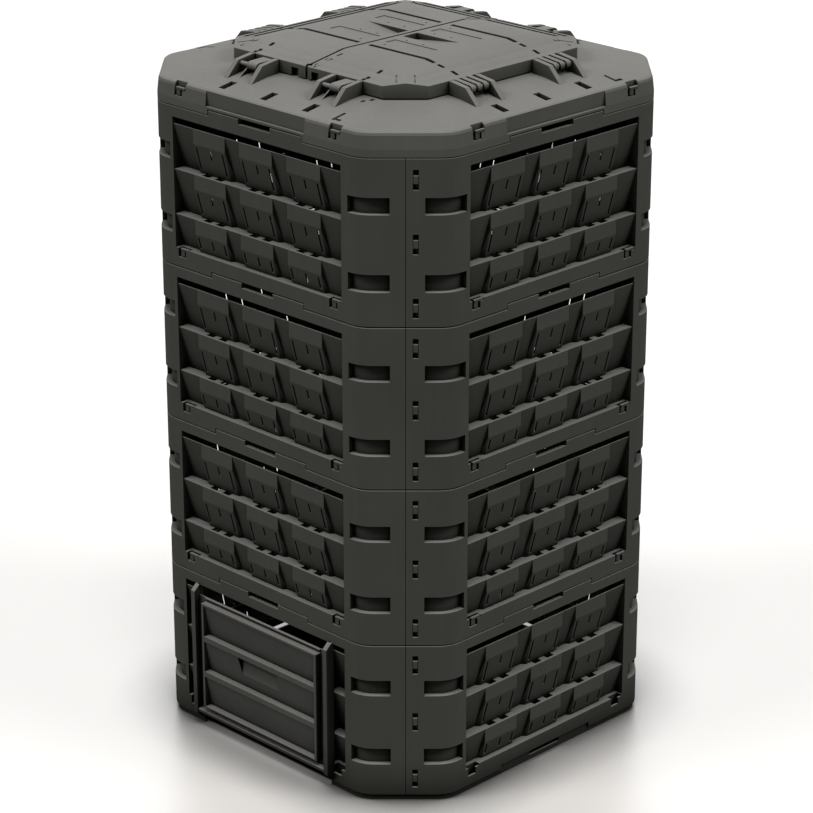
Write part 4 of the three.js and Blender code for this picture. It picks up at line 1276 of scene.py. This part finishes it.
def surround_light(looks):
    """A surround that is white to the camera, and a soft cool light to the bin."""
    world = bpy.data.worlds.new("studio")
    tree = cleared_tree(world)
    backdrop = add_node(tree, "Background", {"Color": WHITE, "Strength": 1.0})
    fill = add_node(tree, "Background", {"Color": FILL_COLOUR, "Strength": looks.surround})
    # Polished things also mirror the backdrop, which stands on the far side
    heading = add_node(tree, "TexCoord", output="Generated")
    far = add_node(tree, "VectorMath", {
        "operation": "DOT_PRODUCT", "Vector": heading, 1: BACKDROP_HEADING,
    }, output="Value")
    edge_start, edge_end = BACKDROP_EDGE
    behind = add_node(tree, "MapRange", {
        "interpolation_type": "SMOOTHSTEP", "Value": far,
        "From Min": edge_start, "From Max": edge_end, "To Max": BACKDROP_GLEAM,
    })
    path = add_node(tree, "LightPath").node.outputs
    gleam = add_node(tree, "Math", {"operation": "MULTIPLY", 0: path["Is Glossy Ray"], 1: behind})
    seen = add_node(tree, "Math", {"operation": "MAXIMUM", 0: path["Is Camera Ray"], 1: gleam})
    mixed = add_node(tree, "MixShader", {"Fac": seen, 1: fill, 2: backdrop})
    add_node(tree, "OutputWorld", {"Surface": mixed})
    bpy.context.scene.world = world


class BIN_OT_stage(bpy.types.Operator):
    """Add the pale floor, the soft light and the camera"""

    bl_idname = "compost_bin.stage"
    bl_label = "Stage"

    def execute(self, context):
        looks = context.scene.bin_stage
        bpy.ops.object.select_all(action="DESELECT")
        bpy.ops.mesh.primitive_plane_add(size=FLOOR_SIZE, location=(0, 0, CAD_BOX[0].z))
        bpy.ops.object.transform_apply()
        floor = bpy.context.object
        floor.name = "studio_floor"
        floor.data.materials.append(floor_material(looks))
        surround_light(looks)
        lamps = (
            ("lamp_overhead", looks.lamp_strength, looks.lamp_height, 0.0),
            ("lamp_left", looks.side_strength, looks.side_height, -looks.side_turn),
            ("lamp_right", looks.side_strength, looks.side_height, looks.side_turn),
        )
        for name, strength, height, turn in lamps:
            bpy.ops.object.light_add(type="SUN", rotation=(QUARTER - height, 0, QUARTER / 2 + turn))
            lamp = bpy.context.object
            lamp.name = name
            lamp.data.energy = strength
            lamp.data.angle = looks.lamp_spread
            lamp.data.color = LAMP_COLOUR
        out = looks.camera_distance / DIAGONAL
        place = (out, AXIS_Y - out, looks.camera_height)
        bpy.ops.object.camera_add(location=place, rotation=(QUARTER - looks.camera_pitch, 0, QUARTER / 2))
        camera = bpy.context.object
        camera.name = "studio_camera"
        camera.data.sensor_width = SENSOR_WIDTH
        camera.data.lens = looks.focal_length
        camera.data.shift_x = CAMERA_SHIFT
        camera.data.clip_end = SIGHT_LIMIT
        context.scene.camera = camera
        context.scene.view_settings.view_transform = "Standard"
        return {"FINISHED"}


class BIN_PT_sidebar(bpy.types.Panel):
    """Lists the bin's pieces, and the sizes and colours they are made from"""

    bl_idname = "BIN_PT_sidebar"
    bl_label = "Compost Bin"
    bl_space_type = "VIEW_3D"
    bl_region_type = "UI"
    bl_category = "Compost Bin"

    def draw(self, context):
        for operator in OPERATORS:
            self.layout.operator(operator.bl_idname)
        for group, properties in GROUPS.items():
            box = self.layout.box()
            box.label(text=group)
            for name in properties.__annotations__:
                box.prop(getattr(context.scene, group), name)


GROUPS = {
    "bin_panels": PanelSizes,
    "bin_lid": LidSizes,
    "bin_hatch": HatchSizes,
    "bin_plastics": PlasticLooks,
    "bin_stage": StageLooks,
}
OPERATORS = (BIN_OT_panels, BIN_OT_hatch_frame, BIN_OT_door, BIN_OT_rim, BIN_OT_leaves, BIN_OT_stage)
CLASSES = (*GROUPS.values(), *OPERATORS, BIN_PT_sidebar)


def register():
    for each in CLASSES:
        bpy.utils.register_class(each)
    for name, group in GROUPS.items():
        setattr(bpy.types.Scene, name, PointerProperty(type=group))


def unregister():
    for name in GROUPS:
        delattr(bpy.types.Scene, name)
    for each in reversed(CLASSES):
        bpy.utils.unregister_class(each)


def main():
    register()
    bpy.ops.compost_bin.panels()
    bpy.ops.compost_bin.hatch_frame()
    bpy.ops.compost_bin.door()
    bpy.ops.compost_bin.rim()
    bpy.ops.compost_bin.leaves()
    bpy.ops.compost_bin.stage()


if __name__ == "__main__":
    main()
